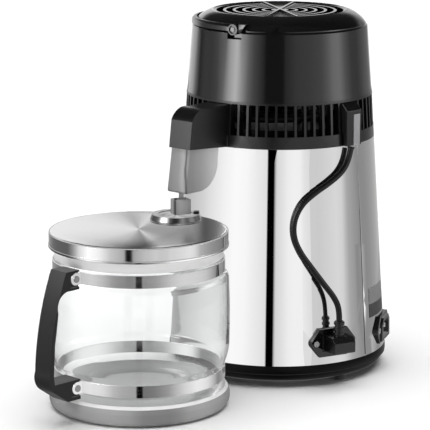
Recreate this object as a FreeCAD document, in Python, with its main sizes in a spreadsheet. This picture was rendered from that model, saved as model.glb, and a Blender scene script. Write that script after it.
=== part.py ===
import FreeCAD, Part
import math
import os
import Sketcher

# Countertop water distiller: a steel boiling tank on a black base, a lift-off head
# with the fan and the condenser coil, a drip spout, and a glass carafe under it.
# Millimetres, +Z up. The tank's axis is Z, the table is Z = 0, the spout points to -X.
# Turns are degrees about Z, counted from +X towards +Y.

doc = FreeCAD.newDocument("water_distiller")
sheet = doc.addObject("Spreadsheet::Sheet", "Sizes")

SIZES = [
    ("over", 1, "cuts, how far they run past a face"),
    ("corners", 4, "feet and plate screws"),
    ("corner_turn", 90, "feet and plate screws, angle from one to the next"),
    ("half_turn", 180, "from one side to the other: the spout's turn, and the bail's sweep"),
    ("foot_radius", 8.9, "rubber feet"),
    ("foot_height", 5.5, "feet, and so the underside of the base"),
    ("foot_edge", 1, "rounding of a foot's sole"),
    ("foot_inset", 10, "feet, their middle from the edge of the flat underside"),
    ("foot_turn", 80.5, "first foot"),
    ("brim_radius", 113.4, "base ring, upper tier"),
    ("tier_inset", 3.4, "base ring, lower tier, behind the upper one"),
    ("edge_inset", 1, "base ring, top of the rounded lower edge, behind the tier"),
    ("sole_inset", 7, "base ring, edge of the flat underside, behind the tier"),
    ("tier_low", 9, "base ring, height of that edge"),
    ("tier_round", 8, "base ring, rounding of the lower edge"),
    ("tier_height", 14, "base ring, lower tier"),
    ("step_height", 0.8, "base ring, slope between the tiers"),
    ("step_inset", 0.5, "base ring, foot of the upper tier, behind its edge"),
    ("brim_low", 18, "base ring, widest height"),
    ("base_height", 23.5, "base ring, top edge"),
    ("shell_seat", 19.5, "ledge that the shell stands on"),
    ("seat_inset", 4.9, "ledge, inner edge, behind the upper tier"),
    ("throat_inset", 3.5, "base ring, wall of the lower tier"),
    ("ledge_inset", 6, "base ring, inside at the floor, behind the tier"),
    ("ledge_wall", 4, "base ring, thickness of the floor ledge"),
    ("lip_width", 4, "base ring, inner lip over the plate"),
    ("plate_inset", 19, "rebate for the base plate, from the edge of the underside"),
    ("plate_wall", 1.2, "base plate, thickness"),
    ("plate_play", 0.1, "play round the base plate and in screw holes"),
    ("vent_count", 12, "base plate, slots"),
    ("vent_start", 38, "base plate, inner end of the slots"),
    ("vent_length", 22, "base plate, slots"),
    ("vent_width", 4, "base plate, slots"),
    ("plate_screw_turn", 45, "first base screw"),
    ("plate_screw_inset", 2, "base screws, from the plate's edge"),
    ("screw_shank", 1.4, "small screws, shank radius"),
    ("screw_head", 2.8, "small screws, head radius"),
    ("screw_cap", 1.5, "small screws, head height"),
    ("plate_screw_bite", 3, "base screws, length under the head"),
    ("shell_wall", 0.8, "outer shell, sheet"),
    ("rim_wall", 1.05, "base ring, lip outside the shell"),
    ("shell_taper", 13.95, "outer shell, how much narrower it is at its top"),
    ("shell_top", 243, "outer shell, top face"),
    ("shell_fit", 0.1, "play between the shell and the base ring"),
    ("shell_lip", 89.2, "outer shell, inner edge of the top flange"),
    ("seam_turn", 273, "outer shell, joint of the sheet"),
    ("seam_width", 0.5, "outer shell, groove of the joint"),
    ("seam_depth", 0.4, "outer shell, groove of the joint"),
    ("seam_margin", 2, "outer shell, end of the groove below the top"),
    ("pot_radius", 88, "boiler pot, inside"),
    ("pot_wall", 0.7, "boiler pot, sheet"),
    ("pot_floor", 58, "boiler pot, inside of the bottom"),
    ("pot_corner", 6, "boiler pot, inside corner"),
    ("pot_brim", 95.5, "boiler pot, outer edge of the flange"),
    ("brim_wall", 0.8, "boiler pot, flange"),
    ("element_radius", 55, "heating element, centre line"),
    ("element_tube", 3.5, "heating element, tube radius"),
    ("element_sweep", 330, "heating element"),
    ("element_start", 106, "heating element, first end"),
    ("terminal_inset", 3, "heating element, terminals from its ends"),
    ("terminal_radius", 2.2, "heating element, terminals"),
    ("terminal_drop", 14, "heating element, length of the terminals"),
    ("thermostat_radius", 8, "thermostat"),
    ("thermostat_height", 10, "thermostat"),
    ("plate_flat", 16, "connector plates, half of the straight edge"),
    ("plate_tip", 25.05, "connector plates, start of the rounded tip"),
    ("plate_tip_rise", 2.84, "connector plates, half height of the tip"),
    ("plate_tip_round", 5, "connector plates, rounding of the tip"),
    ("plate_half", 14.5, "connector plates, half height"),
    ("plate_proud", 3.2, "connector plates, front in front of the shell"),
    ("plate_root", 8, "connector plates, how deep the moulding starts"),
    ("plate_gap", 0.05, "connector plates, clearance to the shell"),
    ("house_width", 30, "connector housings"),
    ("house_tall", 23, "connector housings"),
    ("house_depth", 16, "connector housings, reach behind the shell"),
    ("cutout_play", 0.5, "shell cut-outs round the housings"),
    ("plate_screw_pitch", 20, "connector screws, distance from the middle"),
    ("plate_screw_head", 3, "connector screws, head radius"),
    ("plate_screw_cap", 1.2, "connector screws, head height"),
    ("plate_screw_length", 9, "connector screws"),
    ("screw_play", 0.1, "connector screws, clearance of the holes"),
    ("socket_turn", 249.3, "fan socket"),
    ("socket_height", 46, "fan socket, middle"),
    ("socket_width", 25.5, "fan socket, recess"),
    ("socket_tall", 17.5, "fan socket, recess"),
    ("socket_depth", 12, "fan socket, recess"),
    ("inlet_turn", 294.5, "mains inlet"),
    ("inlet_height", 44.5, "mains inlet, middle"),
    ("shroud_half", 17, "mains inlet, shroud"),
    ("shroud_tall", 11.8, "mains inlet, shroud, half height"),
    ("shroud_bevel", 6, "mains inlet, cut corners of the shroud"),
    ("shroud_proud", 6, "mains inlet, shroud in front of the shell"),
    ("inlet_half", 12.25, "mains inlet, recess, half width"),
    ("inlet_tall", 8.5, "mains inlet, recess, half height"),
    ("inlet_bevel", 5, "mains inlet, cut corners of the recess"),
    ("inlet_depth", 15, "mains inlet, recess"),
    ("pin_pitch", 7, "mains pins, live and neutral from the middle"),
    ("pin_rise", 4, "mains pins, the earth pin above the others"),
    ("pin_wide", 2, "mains pins"),
    ("pin_tall", 4, "mains pins"),
    ("pin_short", 2.5, "mains pins, set back from the shroud's edge"),
    ("pin_tail", 6, "mains pins, terminals behind the housing"),
    ("pin_play", 0.05, "mains pins, clearance"),
    ("label_turn", 279, "rating plate, first edge"),
    ("label_sweep", 23, "rating plate"),
    ("label_low", 60.5, "rating plate, lower edge"),
    ("label_high", 91, "rating plate, upper edge"),
    ("label_wall", 0.4, "rating plate"),
    ("label_gap", 0.05, "rating plate, glue line"),
    ("plug_play", 0.3, "fan plug in its socket"),
    ("plug_width", 24, "fan plug"),
    ("plug_reach", 23, "fan plug, depth in front of the socket"),
    ("plug_drop", 7, "fan plug, underside below the middle"),
    ("plug_rise", 9, "fan plug, top above the middle"),
    ("plug_bevel", 5, "fan plug, sloped top front edge"),
    ("plug_edge", 1.2, "fan plug, bevel of the edges"),
    ("relief_out", 10.6, "fan plug, strain relief, distance from the socket"),
    ("relief_radius", 5.5, "fan plug, strain relief, ribs"),
    ("relief_neck", 4.4, "fan plug, strain relief, between the ribs"),
    ("relief_rib", 2.6, "fan plug, strain relief, height of a rib"),
    ("relief_rib_part", 0.6, "strain relief, thickness of a rib over half its pitch"),
    ("relief_ribs", 3, "fan plug, strain relief, ribs"),
    ("lead_radius", 3, "fan lead"),
    ("gasket_inner", 88.9, "lid gasket"),
    ("gasket_outer", 95, "lid gasket"),
    ("gasket_wall", 2.45, "lid gasket"),
    ("head_gap", 0.05, "between the tank's flange and the gasket"),
    ("lid_wall", 1, "condenser lid"),
    ("lid_radius", 95.3, "condenser lid"),
    ("collar_radius", 80, "condenser lid, collar"),
    ("collar_wall", 1.5, "condenser lid, collar"),
    ("collar_top", 259, "condenser lid, collar"),
    ("post_radius", 3, "condenser lid, posts under the coil"),
    ("band_bottom", 243.3, "vent ring"),
    ("band_radius", 98.3, "vent ring, lower edge"),
    ("band_top", 255.3, "vent ring, top of the plain band"),
    ("band_inner", 96.2, "vent ring, round the gasket"),
    ("band_crown", 95.6, "vent ring, inside of the band above the shelf"),
    ("shelf_inner", 82, "vent ring, shelf on the condenser lid"),
    ("shelf_wall", 2.7, "vent ring, shelf"),
    ("slat_count", 62, "vent ring"),
    ("slat_width", 2.4, "vent ring"),
    ("slat_inset", 0.3, "vent ring, slats behind the band's face"),
    ("slat_inner", 88, "vent ring, inner edge of the slats"),
    ("slat_turn", 2.9, "vent ring, first slat"),
    ("crown_bottom", 286.7, "vent ring, upper ring"),
    ("crown_top", 289.1, "vent ring, upper ring"),
    ("crown_radius", 95.7, "vent ring, upper ring"),
    ("crown_inner", 84, "vent ring, upper ring"),
    ("spigot_inner", 88.5, "vent ring, collar inside the cup"),
    ("spigot_outer", 91.5, "vent ring, collar inside the cup"),
    ("spigot_top", 295, "vent ring, collar inside the cup"),
    ("opening_play", 0.3, "vent ring, play beside the spout and the tower"),
    ("cup_skirt", 95.6, "head cup, radius at its lower edge"),
    ("cup_waist", 94.6, "head cup, radius above the flared edge"),
    ("cup_flare", 6, "head cup, height of the flared edge"),
    ("cup_shoulder", 90.1, "head cup, radius at the top"),
    ("cup_top", 358.3, "head cup"),
    ("cup_round", 2.3, "head cup, rounding of the top edge"),
    ("cup_wall", 2.2, "head cup"),
    ("ledge_inner", 80, "head cup, inner edge of the top"),
    ("cup_gap", 0.1, "head cup, above the vent ring and under the dome"),
    ("notch_left", 6, "head cup, notches for the bail's eyes, left of the pivot"),
    ("notch_right", 10.5, "head cup, notches for the bail's eyes, right of the pivot"),
    ("notch_drop", 8, "head cup, notches, below the bail"),
    ("notch_inner", 75, "head cup, notches, start"),
    ("dome_edge", 1.1, "top dome, upright edge"),
    ("dome_radius", 88.3, "top dome"),
    ("dome_rim", 81.2, "top dome, inner edge of the rim"),
    ("dome_rise", 14.5, "top dome, highest line above the cup"),
    ("crown_line", 68.5, "top dome, radius of the highest line"),
    ("dome_round", 32, "top dome, rounding of the shoulder"),
    ("dome_inner", 29.6, "top dome, rounding inside"),
    ("grille_radius", 66, "grille"),
    ("grille_sink", 1.2, "grille, below the highest line"),
    ("grille_wall", 2, "grille"),
    ("slot_inner", 12.3, "grille, first slot"),
    ("slot_pitch", 9.9, "grille, pitch of the slots"),
    ("slot_width", 7, "grille"),
    ("slot_rings", 6, "grille, slots in a sector"),
    ("sector_turn", 131, "grille, middle of a slotted sector"),
    ("sector_half", 76, "grille, half of the sector, to the bars"),
    ("bar_half", 3.6, "grille, half of a bar and its margin"),
    ("bar_width", 2.4, "grille, raised bars"),
    ("channel_radius", 83.4, "top dome, channel for the bail"),
    ("channel_start", -1.5, "top dome, channel, first end"),
    ("channel_sweep", 199, "top dome, channel"),
    ("pivot_turn", 8, "bail, pivot line"),
    ("pivot_lift", 2, "bail, pivot line above the cup"),
    ("lug_inner", 76, "bail lugs, inner face"),
    ("lug_play", 0.4, "bail lugs, play in the notches"),
    ("lug_drop", 10.3, "bail lugs, below the pivot"),
    ("lug_rise", 5.7, "bail lugs, above the pivot"),
    ("lug_corner", 4, "bail lugs, rounded top corners"),
    ("bail_inner", 85.3, "bail"),
    ("bail_wall", 5, "bail"),
    ("bail_drop", 1.4, "bail, underside below the pivot"),
    ("bail_rise", 5.4, "bail, top above the pivot"),
    ("bail_round", 3.6, "bail, rounded top edge"),
    ("eye_radius", 5.5, "bail, eyes"),
    ("eye_inset", 0.2, "bail, flat faces of the eyes behind the bow's"),
    ("pivot_radius", 2, "bail screws, shank"),
    ("pivot_fit", 0.08, "bail, play on the screws"),
    ("pivot_head", 2.3, "bail screws, head"),
    ("pivot_cap", 1.9, "bail screws, head height"),
    ("counterbore", 4.1, "bail, recess for the screw's head"),
    ("bracket_wall", 3, "motor bracket"),
    ("bracket_inner", 85, "motor bracket, ring"),
    ("bracket_outer", 91, "motor bracket, ring"),
    ("arm_width", 10, "motor bracket, arms"),
    ("arm_count", 3, "motor bracket, arms"),
    ("arm_turn", 30, "motor bracket, first arm"),
    ("hub_plate", 25, "motor bracket, plate under the motor"),
    ("motor_radius", 22, "fan motor"),
    ("motor_height", 26, "fan motor"),
    ("motor_boss", 6, "fan motor, bearing boss radius"),
    ("boss_height", 2, "fan motor, bearing boss"),
    ("shaft_radius", 2, "fan shaft"),
    ("shaft_fit", 0.05, "fan shaft in the motor's bearing"),
    ("shaft_depth", 22, "fan shaft, length inside the motor"),
    ("rotor_gap", 3, "fan rotor, above the bearing boss"),
    ("shaft_play", 0.3, "fan shaft, end clearance in its bore"),
    ("hub_radius", 15, "fan rotor, hub"),
    ("hub_height", 20, "fan rotor, hub"),
    ("hub_round", 3, "fan rotor, hub's top edge"),
    ("blade_count", 5, "fan rotor"),
    ("blade_reach", 74, "fan rotor, tip radius"),
    ("blade_wall", 1.8, "fan rotor, blades"),
    ("root_chord", 22, "fan rotor, blade at the hub"),
    ("tip_chord", 38, "fan rotor, blade at the tip"),
    ("root_pitch", 42, "fan rotor, blade at the hub"),
    ("tip_pitch", 22, "fan rotor, blade at the tip"),
    ("nut_radius", 4, "fan nut, across the corners / 2"),
    ("nut_height", 3.2, "fan nut"),
    ("coil_tube", 4, "condenser coil, tube radius"),
    ("coil_wall", 1, "condenser coil, wall of its tube"),
    ("coil_height", 266, "condenser coil, centre line"),
    ("coil_first", 32, "condenser coil, innermost half turn"),
    ("coil_pitch", 12, "condenser coil, pitch of a full turn"),
    ("coil_halves", 6, "condenser coil, half turns"),
    ("coil_bend", 10, "condenser coil, bends at its ends"),
    ("outlet_reach", 140, "condenser coil, down pipe from the axis"),
    ("outlet_end", 252, "condenser coil, lower end"),
    ("tower_turn", 266, "lead tower"),
    ("tower_width", 21, "lead tower"),
    ("tower_front", 104.5, "lead tower, front face"),
    ("tower_bottom", 243.4, "lead tower"),
    ("tower_slope", 279, "lead tower, start of the sloped top"),
    ("tower_top", 286.2, "lead tower, top"),
    ("tower_crown", 97.5, "lead tower, front of the top face"),
    ("cover_inner", 89, "spout cover and tower, reach into the ring"),
    ("cover_gap", 0.3, "spout cover and tower, in front of the band"),
    ("tower_plate_turn", 267.6, "lead tower's plate"),
    ("tower_plate_width", 9, "lead tower's plate"),
    ("tower_plate_top", 275, "lead tower's plate"),
    ("tower_plate_wall", 0.6, "lead tower's plate"),
    ("gland_turn", 264.1, "lead gland"),
    ("gland_out", 102.9, "lead gland, distance from the axis"),
    ("gland_radius", 3.6, "lead gland"),
    ("gland_height", 2, "lead gland"),
    ("gland_drop", 3.05, "lead gland, its lower face below the tower"),
    ("cover_width", 27.5, "spout cover"),
    ("cover_wall", 1.2, "spout cover"),
    ("cover_front", 154.5, "spout cover, lower front edge"),
    ("cover_low", 247.5, "spout cover, lower front edge"),
    ("cover_back", 243.4, "spout cover, lower edge at the ring"),
    ("cover_brow", 151, "spout cover, start of the round shoulder"),
    ("cover_brow_height", 275, "spout cover, start of the round shoulder"),
    ("cover_round", 21, "spout cover, shoulder"),
    ("cover_crest", 126, "spout cover, end of the round shoulder"),
    ("cover_crest_height", 285.2, "spout cover, end of the round shoulder"),
    ("cover_top", 286.4, "spout cover, top at the ring"),
    ("spout_width", 24.6, "spout body"),
    ("spout_wall", 0.8, "spout body, sheet"),
    ("spout_back", 109, "spout body, back at the top"),
    ("spout_top", 252, "spout body, top inside the cover"),
    ("spout_belly", 111, "spout body, start of the round belly"),
    ("belly_lift", 22.5, "spout body, start of the round belly above the underside"),
    ("spout_round", 28, "spout body, belly"),
    ("spout_floor", 203.5, "spout body, underside"),
    ("spout_keel", 140, "spout body, end of the round belly"),
    ("spout_toe", 157, "spout body, front of the underside"),
    ("spout_nose", 158.7, "spout body, front at the bottom"),
    ("nose_lift", 1.7, "spout body, front edge above the underside"),
    ("spout_brow", 151.3, "spout body, front at the top"),
    ("nozzle_out", 152, "nozzle, distance from the axis"),
    ("nozzle_radius", 2.4, "nozzle"),
    ("nozzle_bore", 1.5, "nozzle"),
    ("nozzle_drop", 5.8, "nozzle, length below the spout"),
    ("filter_radius", 10, "filter cup"),
    ("filter_foot", 7.5, "filter cup, bottom radius"),
    ("filter_wall", 1.2, "filter cup"),
    ("filter_height", 40, "filter cup"),
    ("filter_flange", 11.4, "filter cup, rim"),
    ("filter_lift", 0.9, "filter cup, above the spout's floor"),
    ("carafe_out", 214, "carafe's axis from the tank's axis"),
    ("glass_wall", 2.6, "carafe glass"),
    ("glass_bottom", 3, "carafe glass, underside"),
    ("glass_floor", 9, "carafe glass, inside of the bottom"),
    ("glass_sole", 79, "carafe glass, flat underside"),
    ("glass_foot", 87.4, "carafe glass, foot"),
    ("glass_foot_height", 12, "carafe glass, foot"),
    ("glass_foot_round", 11, "carafe glass, rounding of the foot"),
    ("glass_waist", 83.6, "carafe glass, under the bands"),
    ("glass_waist_low", 24, "carafe glass, start of the lower waist"),
    ("glass_waist_end", 43.2, "carafe glass, end of the lower waist"),
    ("glass_hip", 88.4, "carafe glass"),
    ("glass_hip_height", 55, "carafe glass"),
    ("glass_belly", 89.3, "carafe glass, widest"),
    ("glass_belly_height", 95, "carafe glass, widest"),
    ("glass_shoulder", 88.2, "carafe glass"),
    ("glass_shoulder_height", 131, "carafe glass"),
    ("glass_hip_round", 20, "carafe glass, curve from the waist to the belly"),
    ("glass_belly_round", 900, "carafe glass, curve of the belly"),
    ("glass_neck_low", 136, "carafe glass, start of the upper waist"),
    ("glass_neck_high", 148.9, "carafe glass, end of the upper waist"),
    ("glass_neck", 82, "carafe glass, neck"),
    ("glass_neck_height", 150, "carafe glass, neck"),
    ("glass_top", 172, "carafe glass, rim"),
    ("cup_foot", 80, "carafe base, underside"),
    ("cup_bulge", 89.3, "carafe base, widest"),
    ("cup_bulge_height", 12, "carafe base, widest"),
    ("cup_bulge_round", 13, "carafe base, rounding"),
    ("cup_edge", 85.5, "carafe base, top edge"),
    ("cup_edge_height", 21, "carafe base, top edge"),
    ("cup_sheet", 0.8, "carafe base, sheet"),
    ("band_gap", 0.2, "carafe bands, clearance to the glass"),
    ("band_sheet", 0.7, "carafe bands, sheet"),
    ("band_tall", 12, "carafe bands"),
    ("upper_band_low", 136.6, "carafe, upper band"),
    ("lower_band_low", 29.3, "carafe, lower band"),
    ("ear_gap", 9.3, "carafe bands, half the opening between the ears"),
    ("ear_reach", 90.5, "carafe bands, bolt in the ears"),
    ("ear_round", 6, "carafe bands, rounded ends of the ears"),
    ("bolt_radius", 2, "carafe bolts"),
    ("bolt_head", 3.4, "carafe bolts"),
    ("bolt_cap", 1.5, "carafe bolts, head height"),
    ("handle_turn", 176, "carafe handle"),
    ("handle_half", 11, "carafe handle, half width"),
    ("handle_web", 9.25, "carafe handle, half width between the ears"),
    ("handle_root", 87.2, "carafe handle, face at the bands"),
    ("handle_top", 151.3, "carafe handle"),
    ("handle_brow", 103.5, "carafe handle, front of the top face"),
    ("handle_round", 280, "carafe handle, front curve"),
    ("handle_heel", 125.3, "carafe handle, end of the front curve"),
    ("handle_heel_height", 55, "carafe handle, end of the front curve"),
    ("heel_round", 16, "carafe handle, lower front corner"),
    ("handle_toe", 118, "carafe handle, lower front corner"),
    ("handle_toe_height", 35, "carafe handle, lower front corner"),
    ("handle_sole", 103, "carafe handle, front of the underside"),
    ("handle_bottom", 24.5, "carafe handle, underside"),
    ("grip_top", 132.6, "carafe handle, top of the finger gap"),
    ("grip_brow", 102.3, "carafe handle, top of the finger gap"),
    ("grip_brow_round", 15, "carafe handle, top of the finger gap"),
    ("grip_upper", 113.7, "carafe handle, finger gap"),
    ("grip_upper_height", 113, "carafe handle, finger gap"),
    ("grip_middle", 118.6, "carafe handle, finger gap"),
    ("grip_middle_height", 82, "carafe handle, finger gap"),
    ("grip_lower", 120.4, "carafe handle, finger gap"),
    ("grip_slant", 1, "carafe handle, slant at the foot of the finger gap"),
    ("grip_lower_height", 52, "carafe handle, finger gap"),
    ("grip_bottom", 44.3, "carafe handle, bottom of the finger gap"),
    ("recess_end", 98, "carafe handle, recesses for the ears"),
    ("recess_play", 1.4, "carafe handle, recesses above and below the ears"),
    ("top_radius", 87.6, "carafe lid, edge of the top"),
    ("top_height", 176, "carafe lid"),
    ("top_sheet", 0.8, "carafe lid, sheet"),
    ("top_round", 3, "carafe lid, rounded edge"),
    ("skirt_radius", 87.6, "carafe lid, above the bead"),
    ("skirt_bottom", 161, "carafe lid"),
    ("bead_height", 2.2, "carafe lid, bead"),
    ("bead_proud", 0.6, "carafe lid, bead"),
    ("seal_inner", 77, "lid seal"),
    ("seal_outer", 83, "lid seal"),
    ("seal_gap", 0.05, "lid seal, above the glass"),
    ("cap_off", 53.9, "drip cap, from the carafe's axis towards the tank"),
    ("cap_hole", 18, "carafe lid, hole under the drip cap"),
    ("cap_fit", 0.3, "drip cap in the lid"),
    ("cap_radius", 23.6, "drip cap, top"),
    ("cap_rim", 25.5, "drip cap, lower edge"),
    ("cap_height", 7, "drip cap"),
    ("cap_wall", 2.4, "drip cap, top wall"),
    ("cap_dish", 17.4, "drip cap, sunk middle"),
    ("cap_sink", 1, "drip cap, sunk middle"),
    ("cap_spigot", 6, "drip cap, spigot below the lid's top"),
    ("cap_rib_height", 1.1, "drip cap, groove round the side"),
    ("cap_rib_depth", 1, "drip cap, groove round the side"),
    ("chute_wide", 17, "drip chute"),
    ("chute_deep", 12, "drip chute"),
    ("chute_wall", 1, "drip chute"),
    ("chute_top", 197, "drip chute"),
    ("chute_turn", -25.3, "drip chute"),
    ("chute_across", 6.8, "drip chute, middle from the cap's axis"),
    ("chute_along", -0.5, "drip chute, middle from the cap's axis"),
    ("knob_turn", -52.4, "drip cap's lug"),
    ("knob_inner", 17.4, "drip cap's lug"),
    ("knob_width", 8, "drip cap's lug"),
    ("knob_rise", 3, "drip cap's lug, above the cap"),
]


class Size:
    """A length, angle or count: its number now and its formula in the sheet."""

    def __init__(self, number, formula=None):
        self.number = float(number)
        self.formula = formula or "(%r)" % float(number)

    def join(self, other, sign, number):
        return Size(number, "(%s %s %s)" % (self.formula, sign, as_size(other).formula))

    def __add__(self, other):
        return self.join(other, "+", self.number + as_size(other).number)

    def __sub__(self, other):
        return self.join(other, "-", self.number - as_size(other).number)

    def __mul__(self, other):
        return self.join(other, "*", self.number * as_size(other).number)

    def __truediv__(self, other):
        return self.join(other, "/", self.number / as_size(other).number)

    def __neg__(self):
        return Size(-self.number, "(0 - %s)" % self.formula)

    def __radd__(self, other):
        return as_size(other) + self

    def __rsub__(self, other):
        return as_size(other) - self

    def __rmul__(self, other):
        return as_size(other) * self


def as_size(value):
    return value if isinstance(value, Size) else Size(value)


def cosine(turn):
    turn = as_size(turn)
    return Size(math.cos(math.radians(turn.number)), "cos(%s)" % turn.formula)


def sine(turn):
    turn = as_size(turn)
    return Size(math.sin(math.radians(turn.number)), "sin(%s)" % turn.formula)


def arcsine(ratio):
    return Size(math.degrees(math.asin(ratio.number)), "(asin(%s) / 1 deg)" % ratio.formula)


class Sheet:
    """Every size of the sheet, by its name."""


def fill_sheet():
    """Write the sizes into the spreadsheet and give each cell its alias."""
    sizes = Sheet()
    for row, (alias, number, note) in enumerate(SIZES, start=1):
        sheet.set("A%d" % row, alias)
        sheet.set("B%d" % row, str(number))
        sheet.set("C%d" % row, note)
        sheet.setAlias("B%d" % row, alias)
        setattr(sizes, alias, Size(number, "Sizes." + alias))
    doc.recompute()
    return sizes


s = fill_sheet()
pieces = []

# Sizes that follow others: a wider base takes its shell, plate and feet along, and a
# higher cup its dome and bail.
s.tier_radius = s.brim_radius - s.tier_inset
s.tier_edge = s.tier_radius - s.edge_inset
s.sole_radius = s.tier_radius - s.sole_inset
s.step_radius = s.brim_radius - s.step_inset
s.seat_radius = s.brim_radius - s.seat_inset
s.throat_radius = s.tier_radius - s.throat_inset
s.ledge_radius = s.tier_radius - s.ledge_inset
s.plate_radius = s.sole_radius - s.plate_inset
s.lip_radius = s.plate_radius - s.lip_width
s.plate_screw_circle = s.plate_radius - s.plate_screw_inset
s.foot_circle = s.sole_radius - s.foot_inset
s.shell_foot = s.brim_radius - s.rim_wall - s.shell_fit
s.shell_neck = s.shell_foot - s.shell_taper
s.pivot_height = s.cup_top + s.pivot_lift
s.dome_crown = s.cup_top + s.dome_rise
s.spout_belly_height = s.spout_floor + s.belly_lift
s.spout_nose_height = s.spout_floor + s.nose_lift


# ---------------------------------------------------------------- drawing and features

def bind(item, name, value):
    item.setExpression(name, as_size(value).formula)


def new_body(label):
    body = doc.addObject("PartDesign::Body", label)
    body.Label = label
    pieces.append(body)
    return body


def origin(body, role):
    return [item for item in body.Origin.OriginFeatures if item.Role == role][0]


def sketch_on(body, role, axis, turn, place):
    """A sketch on an origin plane, turned about one of the plane's own axes, then moved."""
    sketch = body.newObject("Sketcher::SketchObject", body.Label + "_sketch")
    sketch.AttachmentSupport = [(origin(body, role), "")]
    sketch.MapMode = "FlatFace"
    turn = as_size(turn)
    rotation = FreeCAD.Rotation(FreeCAD.Vector(*axis), turn.number)
    sketch.AttachmentOffset = FreeCAD.Placement(FreeCAD.Vector(), rotation)
    if abs(turn.number) > 1e-9:
        bind(sketch, "AttachmentOffset.Rotation.Angle", turn)
    for name, value in zip("xyz", place):
        bind(sketch, "AttachmentOffset.Base." + name, value)
    return sketch


def flat(body, up=0, turn=0):
    """A level sketch at a height: its x axis points to the turn."""
    return sketch_on(body, "XY_Plane", (0, 0, 1), turn, (0, 0, up))


def side(body, turn=0, off=0):
    """An upright sketch through the axis: x is the distance from the axis, y the height."""
    place = (sine(turn) * off, 0, cosine(turn) * off)
    return sketch_on(body, "XZ_Plane", (0, 1, 0), turn, place)


def face(body, turn, out, up):
    """An upright sketch that faces outwards, at a distance from the axis and a height."""
    place = (cosine(turn) * out, up, -(sine(turn) * out))
    return sketch_on(body, "XZ_Plane", (0, 1, 0), turn + as_size(90), place)


def pin_point(sketch, index, end, across, up):
    """Hold one end of a line or arc, or a circle's centre, at its place."""
    for kind, axis, value in (("DistanceX", -2, across), ("DistanceY", -1, up)):
        if abs(value.number) < 1e-9:
            sketch.addConstraint(Sketcher.Constraint("PointOnObject", index, end, axis))
        else:
            held = sketch.addConstraint(
                Sketcher.Constraint(kind, -1, 1, index, end, value.number))
            bind(sketch, "Constraints[%d]" % held, value)


def arc_between(start, end, radius):
    """A counter-clockwise arc for a positive radius and a clockwise one for a negative."""
    chord = end - start
    middle = (start + end) * 0.5
    inward = FreeCAD.Vector(-chord.y, chord.x, 0).normalize()
    reach = math.sqrt(radius * radius - chord.Length ** 2 / 4)
    centre = middle + inward * math.copysign(reach, radius)
    first, last = (start, end) if radius > 0 else (end, start)
    angles = [math.atan2(point.y - centre.y, point.x - centre.x) for point in (first, last)]
    if angles[1] < angles[0]:
        angles[1] += 2 * math.pi
    circle = Part.Circle(centre, FreeCAD.Vector(0, 0, 1), abs(radius))
    return Part.ArcOfCircle(circle, angles[0], angles[1])


def draw(sketch, *corners):
    """A closed outline through corners (across, up). A third value is the radius of the
    arc that leads to the corner, positive when it turns counter-clockwise."""
    corners = [[as_size(value) for value in corner] for corner in corners]
    points = [FreeCAD.Vector(corner[0].number, corner[1].number, 0) for corner in corners]
    ends = []
    for index, corner in enumerate(corners):
        start, end = points[index - 1], points[index]
        if len(corner) == 3:
            edge = sketch.addGeometry(arc_between(start, end, corner[2].number))
            ends.append((edge, 1, 2) if corner[2].number > 0 else (edge, 2, 1))
        else:
            ends.append((sketch.addGeometry(Part.LineSegment(start, end)), 1, 2))
    for index, corner in enumerate(corners):
        edge, unused, last = ends[index]
        following, first, unused = ends[(index + 1) % len(corners)]
        sketch.addConstraint(Sketcher.Constraint("Coincident", edge, last, following, first))
        pin_point(sketch, edge, last, corner[0], corner[1])
        if len(corner) == 3:
            radius = corner[2] if corner[2].number > 0 else -corner[2]
            held = sketch.addConstraint(Sketcher.Constraint("Radius", edge, radius.number))
            bind(sketch, "Constraints[%d]" % held, radius)
    return sketch


def ring(sketch, across, up, *radii):
    """One or more circles about the same point."""
    for radius in radii:
        radius, across, up = as_size(radius), as_size(across), as_size(up)
        middle = FreeCAD.Vector(across.number, up.number, 0)
        circle = Part.Circle(middle, FreeCAD.Vector(0, 0, 1), radius.number)
        edge = sketch.addGeometry(circle)
        pin_point(sketch, edge, 3, across, up)
        held = sketch.addConstraint(Sketcher.Constraint("Radius", edge, radius.number))
        bind(sketch, "Constraints[%d]" % held, radius)
    return sketch


def box(sketch, left, low, right, high):
    return draw(sketch, (left, low), (right, low), (right, high), (left, high))


def feature(body, kind, sketch):
    item = body.newObject("PartDesign::" + kind, "%s_%s" % (body.Label, kind.lower()))
    item.Profile = sketch
    return item


def pad(body, sketch, length, both=False, back=False):
    item = feature(body, "Pad", sketch)
    item.Midplane = both
    item.Reversed = back
    bind(item, "Length", length)
    return item


def pocket(body, sketch, length, both=False, out=False):
    item = feature(body, "Pocket", sketch)
    item.Midplane = both
    item.Reversed = out
    bind(item, "Length", length)
    return item


def revolve(body, sketch, sweep=360, axis="V_Axis"):
    item = feature(body, "Revolution", sketch)
    item.ReferenceAxis = (sketch, [axis])
    bind(item, "Angle", sweep)
    return item


def groove(body, sketch, sweep=360, axis="V_Axis"):
    item = feature(body, "Groove", sketch)
    item.ReferenceAxis = (sketch, [axis])
    bind(item, "Angle", sweep)
    return item


def around(body, original, count):
    """Repeat a feature evenly about the body's own Z axis."""
    item = body.newObject("PartDesign::PolarPattern", body.Label + "_pattern")
    item.Originals = [original]
    item.Axis = (origin(body, "Z_Axis"), [""])
    item.Angle = 360
    bind(item, "Occurrences", count)
    body.Tip = item
    return item


def stand(body, across=0, along=0, up=0):
    """Place a body that is drawn about its own axis."""
    for name, value in zip("xyz", (across, along, up)):
        bind(body, "Placement.Base." + name, value)
    return body


def at(turn, out):
    """The level place at a turn and a distance from the tank's axis."""
    return cosine(turn) * out, sine(turn) * out


# ---------------------------------------------------------------- tank

def shell_radius(height):
    """Outer radius of the tapered shell at a height."""
    slope = (s.shell_foot - s.shell_neck) / (s.shell_top - s.shell_seat)
    return s.shell_foot - (height - s.shell_seat) * slope


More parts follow.
